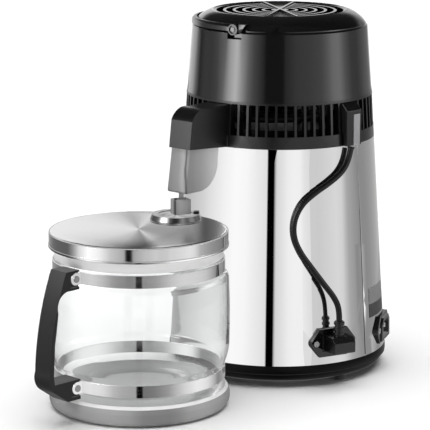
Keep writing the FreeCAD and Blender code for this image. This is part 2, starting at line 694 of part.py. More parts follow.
def base_ring():
    body = new_body("base_ring")
    floor = s.foot_height
    ledge = floor + s.ledge_wall
    roof = floor + s.plate_wall
    rebate = s.shell_foot + s.shell_fit
    sketch = draw(
        side(body),
        (s.plate_radius, floor), (s.sole_radius, floor),
        (s.tier_edge, s.tier_low, s.tier_round), (s.tier_radius, s.tier_height),
        (s.step_radius, s.tier_height + s.step_height), (s.brim_radius, s.brim_low),
        (s.brim_radius, s.base_height), (rebate, s.base_height), (rebate, s.shell_seat),
        (s.seat_radius, s.shell_seat), (s.throat_radius, s.tier_height),
        (s.ledge_radius, ledge), (s.lip_radius, ledge), (s.lip_radius, roof),
        (s.plate_radius, roof))
    revolve(body, sketch)
    for number in range(int(s.corners.number)):
        turn = s.plate_screw_turn + s.corner_turn * number
        hole = ring(flat(body, roof, turn), s.plate_screw_circle, 0, s.screw_shank)
        pocket(body, hole, s.ledge_wall, out=True)


def rubber_foot(number):
    body = new_body("rubber_foot_%d" % (number + 1))
    rim = s.foot_radius
    revolve(body, draw(
        side(body),
        (0, 0), (rim - s.foot_edge, 0), (rim, s.foot_edge, s.foot_edge),
        (rim, s.foot_height), (0, s.foot_height)))
    stand(body, *at(s.foot_turn + s.corner_turn * number, s.foot_circle))


def base_plate():
    body = new_body("base_plate")
    pad(body, ring(flat(body, s.foot_height), 0, 0, s.plate_radius - s.plate_play), s.plate_wall)
    half = s.vent_width / 2
    slot = box(flat(body, s.foot_height), s.vent_start, -half, s.vent_start + s.vent_length, half)
    around(body, pocket(body, slot, s.plate_wall, out=True), s.vent_count)
    hole = ring(flat(body, s.foot_height, s.plate_screw_turn), s.plate_screw_circle, 0,
                s.screw_shank + s.plate_play)
    around(body, pocket(body, hole, s.plate_wall, out=True), 4)


def base_screw(number):
    body = new_body("base_screw_%d" % (number + 1))
    revolve(body, draw(
        side(body),
        (0, -s.screw_cap), (s.screw_head, -s.screw_cap), (s.screw_head, 0),
        (s.screw_shank, 0), (s.screw_shank, s.plate_screw_bite), (0, s.plate_screw_bite)))
    across, along = at(s.plate_screw_turn + s.corner_turn * number, s.plate_screw_circle)
    stand(body, across, along, s.foot_height)


def outer_shell():
    body = new_body("outer_shell")
    wall = s.shell_wall
    under = s.shell_top - wall
    revolve(body, draw(
        side(body),
        (s.shell_foot, s.shell_seat), (s.shell_neck, s.shell_top), (s.shell_lip, s.shell_top),
        (s.shell_lip, under), (shell_radius(under) - wall, under),
        (s.shell_foot - wall, s.shell_seat)))
    low, high = s.base_height, s.shell_top - s.seam_margin
    seam = draw(
        side(body, s.seam_turn),
        (shell_radius(low) - s.seam_depth, low), (shell_radius(low) + s.over, low),
        (shell_radius(high) + s.over, high), (shell_radius(high) - s.seam_depth, high))
    pocket(body, seam, s.seam_width, both=True)
    for turn, height in ((s.socket_turn, s.socket_height), (s.inlet_turn, s.inlet_height)):
        cut = face(body, turn, s.seat_radius - s.house_depth, height)
        half = s.house_width / 2 + s.cutout_play
        tall = s.house_tall / 2 + s.cutout_play
        box(cut, -half, -tall, half, tall)
        for way in (1, -1):
            ring(cut, s.plate_screw_pitch * way, 0, s.screw_shank + s.screw_play)
        pocket(body, cut, s.house_depth * 2, out=True)


def boiler_pot():
    body = new_body("boiler_pot")
    inner, wall = s.pot_radius, s.pot_wall
    corner = s.pot_corner
    under = s.pot_floor - wall
    revolve(body, draw(
        side(body),
        (0, under), (inner - corner, under), (inner + wall, s.pot_floor + corner, corner + wall),
        (inner + wall, s.shell_top), (s.pot_brim, s.shell_top),
        (s.pot_brim, s.shell_top + s.brim_wall), (inner, s.shell_top + s.brim_wall),
        (inner, s.pot_floor + corner), (inner - corner, s.pot_floor, -corner),
        (0, s.pot_floor)))


def heating_element():
    body = new_body("heating_element")
    height = s.pot_floor - s.pot_wall - s.element_tube
    loop = ring(side(body, s.element_start), s.element_radius, height, s.element_tube)
    revolve(body, loop, s.element_sweep)
    for turn in (s.element_start + s.terminal_inset,
                 s.element_start + s.element_sweep - s.terminal_inset):
        foot = ring(flat(body, height, turn), s.element_radius, 0, s.terminal_radius)
        pad(body, foot, s.terminal_drop, back=True)


def thermostat():
    body = new_body("thermostat")
    under = s.pot_floor - s.pot_wall
    pad(body, ring(flat(body, under), 0, 0, s.thermostat_radius), s.thermostat_height, back=True)


def connector_plate(body, turn, height):
    """The screwed front plate of a connector, shaped to the shell behind it, and its housing."""
    at_shell = shell_radius(height)
    front = at_shell + s.plate_proud
    tip, rise, curve = s.plate_tip, s.plate_tip_rise, s.plate_tip_round
    outline = draw(
        face(body, turn, at_shell - s.plate_root, height),
        (s.plate_flat, -s.plate_half), (tip, -rise), (tip, rise, curve),
        (s.plate_flat, s.plate_half), (-s.plate_flat, s.plate_half), (-tip, rise),
        (-tip, -rise, curve), (-s.plate_flat, -s.plate_half))
    pad(body, outline, s.plate_root + s.plate_proud)
    low, high = height - s.plate_half - s.over, height + s.plate_half + s.over
    inside = at_shell - s.plate_root * 2
    groove(body, draw(
        side(body),
        (inside, low), (shell_radius(low) + s.plate_gap, low),
        (shell_radius(high) + s.plate_gap, high), (inside, high)))
    behind = at_shell - s.house_depth
    housing = face(body, turn, behind, height)
    box(housing, -s.house_width / 2, -s.house_tall / 2, s.house_width / 2, s.house_tall / 2)
    pad(body, housing, front - behind)
    holes = face(body, turn, behind, height)
    for way in (1, -1):
        ring(holes, s.plate_screw_pitch * way, 0, s.screw_shank + s.screw_play)
    pocket(body, holes, s.plate_root * 4, out=True)
    return front


def fan_socket():
    body = new_body("fan_socket")
    front = connector_plate(body, s.socket_turn, s.socket_height)
    recess = face(body, s.socket_turn, front - s.socket_depth, s.socket_height)
    box(recess, -s.socket_width / 2, -s.socket_tall / 2, s.socket_width / 2, s.socket_tall / 2)
    pocket(body, recess, s.socket_depth + s.over, out=True)


PIN_PLACES = ((-s.pin_pitch, Size(0)), (s.pin_pitch, Size(0)), (Size(0), s.pin_rise))


def mains_inlet():
    body = new_body("mains_inlet")
    turn, height = s.inlet_turn, s.inlet_height
    connector_plate(body, turn, height)
    at_shell = shell_radius(height)
    lip = at_shell + s.shroud_proud
    half, tall, cut = s.shroud_half, s.shroud_tall, s.shroud_bevel
    shroud = draw(
        face(body, turn, at_shell + s.plate_proud / 2, height),
        (half, -tall), (half, tall - cut), (half - cut, tall), (cut - half, tall),
        (-half, tall - cut), (-half, -tall))
    pad(body, shroud, s.shroud_proud - s.plate_proud / 2)
    half, tall, cut = s.inlet_half, s.inlet_tall, s.inlet_bevel
    recess = draw(
        face(body, turn, lip - s.inlet_depth, height),
        (half, -tall), (half, tall - cut), (half - cut, tall), (cut - half, tall),
        (-half, tall - cut), (-half, -tall))
    pocket(body, recess, s.inlet_depth + s.over, out=True)
    holes = face(body, turn, at_shell - s.house_depth * 2, height)
    for across, up in PIN_PLACES:
        pin_outline(holes, across, up, s.pin_play)
    pocket(body, holes, s.house_depth * 2 + s.over, out=True)


def pin_outline(sketch, across, up, play):
    half, tall = s.pin_wide / 2 + play, s.pin_tall / 2 + play
    box(sketch, across - half, up - tall, across + half, up + tall)


def inlet_pin(label, across, up):
    body = new_body(label)
    at_shell = shell_radius(s.inlet_height)
    back = at_shell - s.house_depth - s.pin_tail
    front = at_shell + s.shroud_proud - s.pin_short
    outline = face(body, s.inlet_turn, back, s.inlet_height)
    pin_outline(outline, across, up, 0)
    pad(body, outline, front - back)


def connector_screw(label, turn, height, way):
    """A pan-head screw through a connector's plate into the shell."""
    body = new_body(label)
    front = shell_radius(height) + s.plate_proud
    middle = s.plate_screw_pitch * way
    shank = ring(face(body, turn, front - s.plate_screw_length, height), middle, 0, s.screw_shank)
    pad(body, shank, s.plate_screw_length)
    head = ring(face(body, turn, front, height), middle, 0, s.plate_screw_head)
    pad(body, head, s.plate_screw_cap)


def rating_plate():
    body = new_body("rating_plate")
    low, high = s.label_low, s.label_high
    back = s.label_gap
    front = s.label_gap + s.label_wall
    revolve(body, draw(
        side(body, s.label_turn),
        (shell_radius(low) + back, low), (shell_radius(low) + front, low),
        (shell_radius(high) + front, high), (shell_radius(high) + back, high)), s.label_sweep)


def relief_place():
    """Distance from the tank's axis and top of the fan plug's strain relief."""
    front = shell_radius(s.socket_height) + s.plate_proud
    top = s.socket_height + s.plug_rise + s.relief_rib * s.relief_ribs * 2
    return front + s.relief_out, top


def fan_lead_plug():
    body = new_body("fan_lead_plug")
    turn, height = s.socket_turn, s.socket_height
    front = shell_radius(height) + s.plate_proud
    low, high = height - s.plug_drop, height + s.plug_rise
    reach = front + s.plug_reach
    pad(body, draw(
        side(body, turn),
        (front, low), (reach - s.plug_edge, low), (reach, low + s.plug_edge),
        (reach, high - s.plug_bevel), (reach - s.plug_bevel, high), (front, high)),
        s.plug_width, both=True)
    start = front - s.socket_depth + s.plug_play
    half, tall = s.socket_width / 2 - s.plug_play, s.socket_tall / 2 - s.plug_play
    spigot = box(face(body, turn, start, height), -half, -tall, half, tall)
    pad(body, spigot, front - start)
    middle, top = relief_place()
    neck = ring(flat(body, high, turn), middle, 0, s.relief_neck)
    pad(body, neck, top - high)
    for rib in range(int(s.relief_ribs.number)):
        level = high + s.relief_rib * (2 * rib + s.relief_rib_part)
        pad(body, ring(flat(body, level, turn), middle, 0, s.relief_radius), s.relief_rib)


# ---------------------------------------------------------------- fan lead

# The lead hangs beside the tank from the head's gland to its plug: the places in between
# are (turn, distance from the axis, height), chosen by hand along the hanging lead.
LEAD_ROUTE = [
    (262.3, 103.5, 229.9),
    (257.3, 104.3, 218.3),
    (248.7, 105.0, 208.8),
    (239.3, 105.5, 199.5),
    (231.9, 106.5, 188.6),
    (227.7, 107.3, 172.7),
    (227.5, 108.9, 155.7),
    (231.1, 110.8, 140.1),
    (236.1, 113.7, 126.4),
    (242.3, 118.4, 108.5),
    (247.1, 122.2, 94.8),
    (249.3, 124.4, 82.6),
]


def route_point(turn, out, height):
    angle = math.radians(turn)
    return FreeCAD.Vector(out * math.cos(angle), out * math.sin(angle), height)


def rounded_path(points):
    """Straight runs joined by tangent arcs, each as large as its two runs allow."""
    edges = []
    start = points[0]
    for before, corner, after in zip(points, points[1:], points[2:]):
        back, ahead = before - corner, after - corner
        turn = math.pi - back.getAngle(ahead)
        cut = 0.45 * min(back.Length, ahead.Length)
        radius = cut / math.tan(turn / 2)
        print("lead bend: radius %.1f, turn %.1f degrees" % (radius, math.degrees(turn)))
        first = corner + back.normalize() * cut
        last = corner + ahead.normalize() * cut
        inward = ((first + last) * 0.5 - corner).normalize()
        middle = corner + inward * (radius / math.cos(turn / 2) - radius)
        edges.append(Part.LineSegment(start, first).toShape())
        edges.append(Part.Arc(first, middle, last).toShape())
        start = last
    edges.append(Part.LineSegment(start, points[-1]).toShape())
    return Part.Wire(edges)


def tube_along(label, path, radius):
    """A round tube, swept along a wire of tangent lines and arcs."""
    first = path.OrderedEdges[0]
    start = first.valueAt(first.FirstParameter)
    heading = first.tangentAt(first.FirstParameter)
    section = Part.Wire(Part.Circle(start, heading, radius).toShape())
    solid = path.makePipeShell([section], True, True)
    item = doc.addObject("Part::Feature", label)
    item.Label = label
    item.Shape = solid
    pieces.append(item)
    wanted = math.pi * radius ** 2 * path.Length
    if abs(solid.Volume - wanted) > 0.01 * wanted:
        raise ValueError("%s: volume %.0f, wanted %.0f" % (label, solid.Volume, wanted))
    return path.Length


def lead_points():
    """The lead's corners, from the gland's lower face to the top of the strain relief."""
    middle, top = relief_place()
    gland_face = s.tower_bottom - s.gland_drop
    start = route_point(s.gland_turn.number, s.gland_out.number, gland_face.number)
    end = route_point(s.socket_turn.number, middle.number, top.number)
    return [start] + [route_point(*place) for place in LEAD_ROUTE] + [end]


def fan_lead():
    points = lead_points()
    length = tube_along("fan_lead", rounded_path(points), s.lead_radius.number)
    print("fan lead: %.0f mm long" % length)


# ---------------------------------------------------------------- head: lower works

def gasket_floor():
    return s.shell_top + s.brim_wall + s.head_gap


def lid_floor():
    return gasket_floor() + s.gasket_wall


def lid_gasket():
    body = new_body("lid_gasket")
    low = gasket_floor()
    box_ring = box(side(body), s.gasket_inner, low, s.gasket_outer, low + s.gasket_wall)
    revolve(body, box_ring)


def condenser_lid():
    body = new_body("condenser_lid")
    low = lid_floor()
    high = low + s.lid_wall
    collar = s.collar_radius
    revolve(body, draw(
        side(body),
        (0, low), (s.lid_radius, low), (s.lid_radius, high), (collar, high),
        (collar, s.collar_top), (collar - s.collar_wall, s.collar_top),
        (collar - s.collar_wall, high), (0, high)))
    inlet = coil_inlet()
    bore = s.coil_tube - s.coil_wall
    pocket(body, ring(flat(body, low), inlet[0], inlet[1], bore), s.lid_wall, out=True)
    for across, along in post_places():
        post = ring(flat(body, high), across, along, s.post_radius)
        pad(body, post, s.coil_height - s.coil_tube - high)


def vent_ring():
    body = new_body("vent_ring")
    shelf = lid_floor() + s.lid_wall
    taper = (s.band_radius - s.crown_radius) / (s.crown_top - s.band_bottom)

    def outer(height):
        return s.band_radius - (height - s.band_bottom) * taper

    revolve(body, draw(
        side(body),
        (s.band_radius, s.band_bottom), (outer(s.band_top), s.band_top),
        (s.band_crown, s.band_top), (s.band_crown, shelf + s.shelf_wall),
        (s.shelf_inner, shelf + s.shelf_wall), (s.shelf_inner, shelf), (s.band_inner, shelf),
        (s.band_inner, s.band_bottom)))
    low = shelf + s.shelf_wall / 2
    high = s.crown_bottom + (s.crown_top - s.crown_bottom) / 2
    slat = draw(
        side(body, s.slat_turn),
        (s.slat_inner, low), (outer(low) - s.slat_inset, low),
        (outer(high) - s.slat_inset, high), (s.slat_inner, high))
    around(body, pad(body, slat, s.slat_width, both=True), s.slat_count)
    revolve(body, draw(
        side(body),
        (s.crown_inner, s.crown_bottom), (outer(s.crown_bottom), s.crown_bottom),
        (s.crown_radius, s.crown_top), (s.spigot_outer, s.crown_top),
        (s.spigot_outer, s.spigot_top), (s.spigot_inner, s.spigot_top),
        (s.spigot_inner, s.crown_top), (s.crown_inner, s.crown_top)))
    for turn, width in ((s.half_turn, s.cover_width), (s.tower_turn, s.tower_width)):
        half = width / 2 + s.opening_play
        gap = face(body, turn, s.shelf_inner, s.band_top)
        box(gap, -half, 0, half, s.crown_bottom - s.band_top)
        pocket(body, gap, s.band_radius, out=True)


def motor_bracket():
    body = new_body("motor_bracket")
    low = s.spigot_top
    pad(body, ring(flat(body, low), 0, 0, s.bracket_outer, s.bracket_inner), s.bracket_wall)
    half = s.arm_width / 2
    middle = (s.bracket_inner + s.bracket_outer) / 2
    arm = box(flat(body, low, s.arm_turn), 0, -half, middle, half)
    around(body, pad(body, arm, s.bracket_wall), s.arm_count)
    pad(body, ring(flat(body, low), 0, 0, s.hub_plate), s.bracket_wall)


def motor_floor():
    return s.spigot_top + s.bracket_wall


def fan_motor():
    body = new_body("fan_motor")
    low = motor_floor()
    high = low + s.motor_height
    bore = s.shaft_radius + s.shaft_fit
    depth = high - s.shaft_depth
    top = high + s.boss_height
    revolve(body, draw(
        side(body),
        (0, low), (s.motor_radius, low), (s.motor_radius, high), (s.motor_boss, high),
        (s.motor_boss, top), (bore, top), (bore, depth), (0, depth)))


def rotor_floor():
    return motor_floor() + s.motor_height + s.boss_height + s.rotor_gap


def fan_shaft():
    body = new_body("fan_shaft")
    low = motor_floor() + s.motor_height - s.shaft_depth + s.shaft_play
    top = rotor_floor() + s.hub_height + s.nut_height
    pad(body, ring(flat(body, low), 0, 0, s.shaft_radius), top - low)


def fan_nut():
    body = new_body("fan_nut")
    low = rotor_floor() + s.hub_height
    corners = [at(Size(60 * number), s.nut_radius) for number in range(6)]
    nut = draw(flat(body, low), *corners)
    ring(nut, 0, 0, s.shaft_radius + s.shaft_fit)
    pad(body, nut, s.nut_height)


def blade_section(sketch, chord, pitch):
    """A thin slanted bar: the cross-section of a fan blade."""
    half, wall = chord / 2, s.blade_wall / 2
    along = (cosine(pitch), sine(pitch))
    across = (-sine(pitch), cosine(pitch))
    corners = []
    for far, thick in ((-half, -wall), (half, -wall), (half, wall), (-half, wall)):
        corners.append(tuple(far * along[axis] + thick * across[axis] for axis in (0, 1)))
    return draw(sketch, *corners)


def fan_rotor():
    body = new_body("fan_rotor")
    low = rotor_floor()
    high = low + s.hub_height
    bore = s.shaft_radius + s.shaft_fit
    hub, curve = s.hub_radius, s.hub_round
    revolve(body, draw(
        side(body),
        (bore, low), (hub, low), (hub, high - curve), (hub - curve, high, curve),
        (bore, high)))
    middle = low + s.hub_height / 2
    root = blade_section(face(body, Size(0), hub - s.hub_round, middle), s.root_chord, s.root_pitch)
    tip = blade_section(face(body, Size(0), s.blade_reach, middle), s.tip_chord, s.tip_pitch)
    blade = feature(body, "AdditiveLoft", root)
    blade.Sections = [tip]
    blade.Ruled = True
    around(body, blade, s.blade_count)


# ---------------------------------------------------------------- head: condenser coil

# The spiral sits beside the axis by one bend, so that its outlet runs along the spout.

def coil_inlet():
    """Level place of the coil's upright inlet: x, y."""
    return -s.coil_first, s.coil_bend * 2


def post_places():
    """Level places under the coil where the lid's posts carry it."""
    shift = s.coil_bend
    ring_two = s.coil_first + s.coil_pitch
    ring_three = s.coil_first + s.coil_pitch * 1.5
    return (Size(0), shift - ring_two), (-(s.coil_pitch / 2), shift + ring_three), (ring_two, shift)


def quarter(start, heading, towards, radius):
    """A quarter bend from a heading towards a direction at right angles to it."""
    centre = start + towards * radius
    middle = centre + (heading - towards).normalize() * radius
    end = centre + heading * radius
    return Part.Arc(start, middle, end).toShape(), end


def condenser_coil():
    """A level spiral of half turns, an upright inlet and a pipe down into the spout."""
    height, bend = s.coil_height.number, s.coil_bend.number
    up, ahead, aside = FreeCAD.Vector(0, 0, 1), FreeCAD.Vector(-1, 0, 0), FreeCAD.Vector(0, -1, 0)
    inlet = [place.number for place in coil_inlet()]
    foot = FreeCAD.Vector(inlet[0], inlet[1], (lid_floor() + s.lid_wall).number)
    knee = FreeCAD.Vector(inlet[0], inlet[1], height - bend)
    edges = [Part.LineSegment(foot, knee).toShape()]
    arc, start = quarter(knee, up, aside, bend)
    edges.append(arc)
    radius, way = s.coil_first.number, -1
    for unused in range(int(s.coil_halves.number)):
        centre = start - FreeCAD.Vector(radius * way, 0, 0)
        middle = centre + FreeCAD.Vector(0, radius * way, 0)
        end = centre - FreeCAD.Vector(radius * way, 0, 0)
        edges.append(Part.Arc(start, middle, end).toShape())
        start, way = end, -way
        radius += s.coil_pitch.number / 2
    arc, start = quarter(start, aside, ahead, bend)
    edges.append(arc)
    bend_start = FreeCAD.Vector(bend - s.outlet_reach.number, start.y, height)
    edges.append(Part.LineSegment(start, bend_start).toShape())
    arc, start = quarter(bend_start, ahead, -up, bend)
    edges.append(arc)
    outlet = FreeCAD.Vector(start.x, start.y, s.outlet_end.number)
    edges.append(Part.LineSegment(start, outlet).toShape())
    tube_along("condenser_coil", Part.Wire(edges), s.coil_tube.number)


# ---------------------------------------------------------------- head: cup and dome

def dome_floor():
    return s.cup_top + s.cup_gap


def head_cup():
    body = new_body("head_cup")
    low = s.crown_top + s.cup_gap
    waist = low + s.cup_flare
    wall, curve = s.cup_wall, s.cup_round
    ledge = s.cup_top - wall
    revolve(body, draw(
        side(body),
        (s.cup_skirt, low), (s.cup_waist, waist), (s.cup_shoulder, s.cup_top - curve),
        (s.cup_shoulder - curve, s.cup_top, curve), (s.ledge_inner, s.cup_top),
        (s.ledge_inner, ledge), (s.cup_shoulder - wall, ledge), (s.cup_waist - wall, waist),
        (s.cup_skirt - wall, low)))
    floor = s.pivot_height - s.notch_drop - s.bail_drop
    notch = box(face(body, s.pivot_turn, s.notch_inner, floor), -s.notch_left, 0, s.notch_right,
                s.notch_drop * 2)
    around(body, pocket(body, notch, s.cup_skirt, out=True), 2)


def grille_slot(sketch, radius):
    """A slot along a circle, between the bars at both ends of the sector."""
    inner, outer = radius - s.slot_width / 2, radius + s.slot_width / 2
    half = s.sector_half - arcsine(s.bar_half / radius)
    corners = [(cosine(half) * inner, -(sine(half) * inner)),
               (cosine(half) * outer, -(sine(half) * outer)),
               (cosine(half) * outer, sine(half) * outer, outer),
               (cosine(half) * inner, sine(half) * inner)]
    corners[0] = corners[0] + (-inner,)
    draw(sketch, *corners)


def top_dome():
    body = new_body("top_dome")
    low = dome_floor()
    edge = low + s.dome_edge
    grille_top = s.dome_crown - s.grille_sink
    under = grille_top - s.grille_wall
    revolve(body, draw(
        side(body),
        (s.dome_rim, low), (s.dome_radius, low), (s.dome_radius, edge),
        (s.crown_line, s.dome_crown, s.dome_round), (s.grille_radius, grille_top),
        (0, grille_top), (0, under), (s.grille_radius, under),
        (s.dome_rim, edge, -s.dome_inner)))
    channel = box(side(body, s.channel_start), s.channel_radius, low - s.over, s.dome_radius + s.over,
                  s.dome_crown)
    groove(body, channel, s.channel_sweep)
    for number in range(int(s.slot_rings.number)):
        slot = flat(body, under, s.sector_turn)
        grille_slot(slot, s.slot_inner + s.slot_pitch * number)
        around(body, pocket(body, slot, s.grille_wall * 2, out=True), 2)
    half = s.bar_width / 2
    for way in (1, -1):
        turn = s.sector_turn + s.sector_half * way
        bar = box(flat(body, grille_top, turn), -s.grille_radius, -half, s.grille_radius, half)
        pad(body, bar, s.grille_sink)
    left, right = s.lug_play - s.notch_left, s.notch_right - s.lug_play
    rise, drop, corner = s.lug_rise, s.lug_drop, s.lug_corner
    lug = draw(
        face(body, s.pivot_turn, s.lug_inner, s.pivot_height),
        (right, -drop), (right, rise - corner), (right - corner, rise, corner),
        (left + corner, rise), (left, rise - corner, corner), (left, -drop))
    around(body, pad(body, lug, s.channel_radius - s.lug_inner), 2)
    hole = ring(face(body, s.pivot_turn, s.notch_inner, s.pivot_height), 0, 0,
                s.pivot_radius + s.shaft_fit)
    around(body, pocket(body, hole, s.channel_radius - s.notch_inner + s.over, out=True), 2)


def bail_screw(number):
    body = new_body("bail_screw_%d" % (number + 1))
    turn = s.pivot_turn + s.half_turn * number
    outside = s.bail_inner + s.bail_wall
    neck = outside - s.pivot_cap
    pad(body, ring(face(body, turn, s.lug_inner, s.pivot_height), 0, 0, s.pivot_radius),
        outside - s.lug_inner)
    pad(body, ring(face(body, turn, neck, s.pivot_height), 0, 0, s.pivot_head), s.pivot_cap)


def bail():
    body = new_body("bail_handle")
    outside = s.bail_inner + s.bail_wall
    low, high = s.pivot_height - s.bail_drop, s.pivot_height + s.bail_rise
    curve = s.bail_round
    bow = draw(
        side(body, s.pivot_turn),
        (s.bail_inner, low), (outside, low), (outside, high - curve),
        (outside - curve, high, curve), (s.bail_inner, high))
    revolve(body, bow, s.half_turn)
    for number in range(2):
        turn = s.pivot_turn + s.half_turn * number
        flank = s.bail_inner + s.eye_inset
        pad(body, ring(face(body, turn, flank, s.pivot_height), 0, 0, s.eye_radius),
            s.bail_wall - s.eye_inset * 2)
        hole = ring(face(body, turn, flank - s.over, s.pivot_height), 0, 0,
                    s.pivot_radius + s.pivot_fit)
        pocket(body, hole, s.bail_wall + s.over * 2, out=True)
        seat = ring(face(body, turn, outside - s.pivot_cap - s.cup_gap, s.pivot_height), 0, 0,
                    s.counterbore)
        pocket(body, seat, s.bail_wall, out=True)


# ---------------------------------------------------------------- head: tower and spout

def lead_tower():
    body = new_body("lead_tower")
    step = s.band_radius + s.cover_gap
    pad(body, draw(
        side(body, s.tower_turn),
        (step, s.tower_bottom), (s.tower_front, s.tower_bottom), (s.tower_front, s.tower_slope),
        (s.tower_crown, s.tower_top), (s.cover_inner, s.tower_top), (s.cover_inner, s.band_top),
        (step, s.band_top)), s.tower_width, both=True)


def tower_plate():
    body = new_body("tower_plate")
    half = s.tower_plate_width / 2
    lean = (s.tower_plate_turn - s.tower_turn) / s.half_turn * math.pi * s.tower_front
    front = face(body, s.tower_turn, s.tower_front, s.tower_bottom)
    box(front, lean - half, 0, lean + half, s.tower_plate_top - s.tower_bottom)
    pad(body, front, s.tower_plate_wall)


def lead_gland():
    """A short collar under the tower, in line with the lead where it leaves."""
    body = new_body("lead_gland")
    pad(body, ring(flat(body), 0, 0, s.gland_radius), s.gland_height)
    start, following = lead_points()[:2]
    body.Placement = FreeCAD.Placement(
        start, FreeCAD.Rotation(FreeCAD.Vector(0, 0, 1), start - following))


def spout_cover():
    body = new_body("spout_cover")
    wall = s.cover_wall
    step = s.band_radius + s.cover_gap
    pad(body, draw(
        side(body, s.half_turn),
        (step, s.cover_back), (s.cover_front, s.cover_low), (s.cover_brow, s.cover_brow_height),
        (s.cover_crest, s.cover_crest_height, s.cover_round), (s.cover_inner, s.cover_top),
        (s.cover_inner, s.band_top), (step, s.band_top)), s.cover_width, both=True)
    inner = s.cover_inner - wall
    pocket(body, draw(
        side(body, s.half_turn),
        (inner, s.cover_back - wall), (s.cover_front - wall, s.cover_back - wall),
        (s.cover_front - wall, s.cover_low), (s.cover_brow - wall, s.cover_brow_height),
        (s.cover_crest, s.cover_crest_height - wall, s.cover_round - wall),
        (inner, s.cover_top - wall)), s.cover_width - wall * 2, both=True)


def spout_body():
    body = new_body("spout_body")
    wall = s.spout_wall
    pad(body, draw(
        side(body, s.half_turn),
        (s.spout_back, s.spout_top), (s.spout_belly, s.spout_belly_height),
        (s.spout_keel, s.spout_floor, s.spout_round), (s.spout_toe, s.spout_floor),
        (s.spout_nose, s.spout_nose_height), (s.spout_brow, s.spout_top)),
        s.spout_width, both=True)
    across, along = at(s.half_turn, s.nozzle_out)
    tip = s.spout_floor - s.nozzle_drop
    pad(body, ring(flat(body, tip), across, 0, s.nozzle_radius), s.nozzle_drop)
    pocket(body, draw(
        side(body, s.half_turn),
        (s.spout_back + wall, s.spout_top), (s.spout_belly + wall, s.spout_belly_height),
        (s.spout_keel, s.spout_floor + wall, s.spout_round - wall),
        (s.spout_toe - wall, s.spout_floor + wall), (s.spout_nose - wall, s.spout_nose_height + wall),
        (s.spout_brow - wall, s.spout_top)), s.spout_width - wall * 2, both=True)
    bore = ring(flat(body, tip), across, 0, s.nozzle_bore)
    pocket(body, bore, s.nozzle_drop + wall, out=True)


def filter_cup():
    body = new_body("filter_cup")
    wall, rim = s.filter_wall, s.filter_radius
    high = s.filter_height
    revolve(body, draw(
        side(body),
        (0, 0), (s.filter_foot, 0), (rim, high - wall * 2), (s.filter_flange, high - wall),
        (s.filter_flange, high), (rim - wall, high), (s.filter_foot - wall, wall), (0, wall)))
    stand(body, -s.outlet_reach, 0, s.spout_floor + s.spout_wall + s.filter_lift)


# ---------------------------------------------------------------- carafe

def at_carafe(body):
    stand(body, -s.carafe_out)


def carafe_glass():
    body = new_body("carafe_glass")
    wall = s.glass_wall
    foot = s.glass_foot_round
    curve = s.glass_hip_round
    revolve(body, draw(
        side(body),
        (0, s.glass_bottom), (s.glass_sole, s.glass_bottom),
        (s.glass_foot, s.glass_foot_height, foot), (s.glass_waist, s.glass_waist_low),
        (s.glass_waist, s.glass_waist_end), (s.glass_hip, s.glass_hip_height, -curve),
        (s.glass_belly, s.glass_belly_height, s.glass_belly_round),
        (s.glass_shoulder, s.glass_shoulder_height, s.glass_belly_round),
        (s.glass_waist, s.glass_neck_low), (s.glass_waist, s.glass_neck_high),
        (s.glass_neck, s.glass_neck_height), (s.glass_neck, s.glass_top),
        (s.glass_neck - wall, s.glass_top), (s.glass_neck - wall, s.glass_neck_height - wall / 2),
        (s.glass_waist - wall, s.glass_neck_high - wall / 2),
        (s.glass_waist - wall, s.glass_neck_low), (s.glass_shoulder - wall, s.glass_shoulder_height),
        (s.glass_belly - wall, s.glass_belly_height, -s.glass_belly_round),
        (s.glass_hip - wall, s.glass_hip_height, -s.glass_belly_round),
        (s.glass_waist - wall, s.glass_waist_end, curve), (s.glass_waist - wall, s.glass_waist_low),
        (s.glass_sole, s.glass_floor), (0, s.glass_floor)))
    at_carafe(body)


def carafe_base():
    body = new_body("carafe_base")
    wall = s.cup_sheet
    curve = s.cup_bulge_round
    revolve(body, draw(
        side(body),
        (0, 0), (s.cup_foot, 0), (s.cup_bulge, s.cup_bulge_height, curve),
        (s.cup_edge, s.cup_edge_height, curve), (s.cup_edge - wall, s.cup_edge_height),
        (s.cup_bulge - wall, s.cup_bulge_height, -(curve - wall)),
        (s.cup_foot, wall, -(curve - wall)), (0, wall)))
    at_carafe(body)


def carafe_band(label, low):
    """A sheet ring round the glass; its two ears run out beside the handle to a bolt."""
    body = new_body(label)
    inner = s.glass_waist + s.band_gap
    outer = inner + s.band_sheet
    middle, half = low + s.band_tall / 2, s.band_tall / 2
    revolve(body, box(side(body), inner, low, outer, low + s.band_tall))
    reach = s.ear_reach
    pad(body, draw(
        side(body, s.handle_turn),
        (inner, middle - half), (reach, middle - half), (reach + s.ear_round, middle, s.ear_round),
        (reach, middle + half, s.ear_round), (inner, middle + half)),
        (s.ear_gap + s.band_sheet) * 2, both=True)
    pocket(body, box(side(body, s.handle_turn), s.glass_waist / 2, low - s.over,
                     reach + s.ear_round + s.over, low + s.band_tall + s.over), s.ear_gap * 2, both=True)
    bolt = ring(side(body, s.handle_turn), reach, middle, s.bolt_radius + s.shaft_fit)
    pocket(body, bolt, s.handle_half * 2, both=True)
    at_carafe(body)


def carafe_bolt(label, low):
    body = new_body(label)
    middle = low + s.band_tall / 2
    ears = s.ear_gap + s.band_sheet
    shank = ring(side(body, s.handle_turn), s.ear_reach, middle, s.bolt_radius)
    pad(body, shank, (ears + s.bolt_cap) * 2, both=True)
    for way in (1, -1):
        head = ring(side(body, s.handle_turn, ears * way), s.ear_reach, middle, s.bolt_head)
        pad(body, head, s.bolt_cap, back=way < 0)
    at_carafe(body)


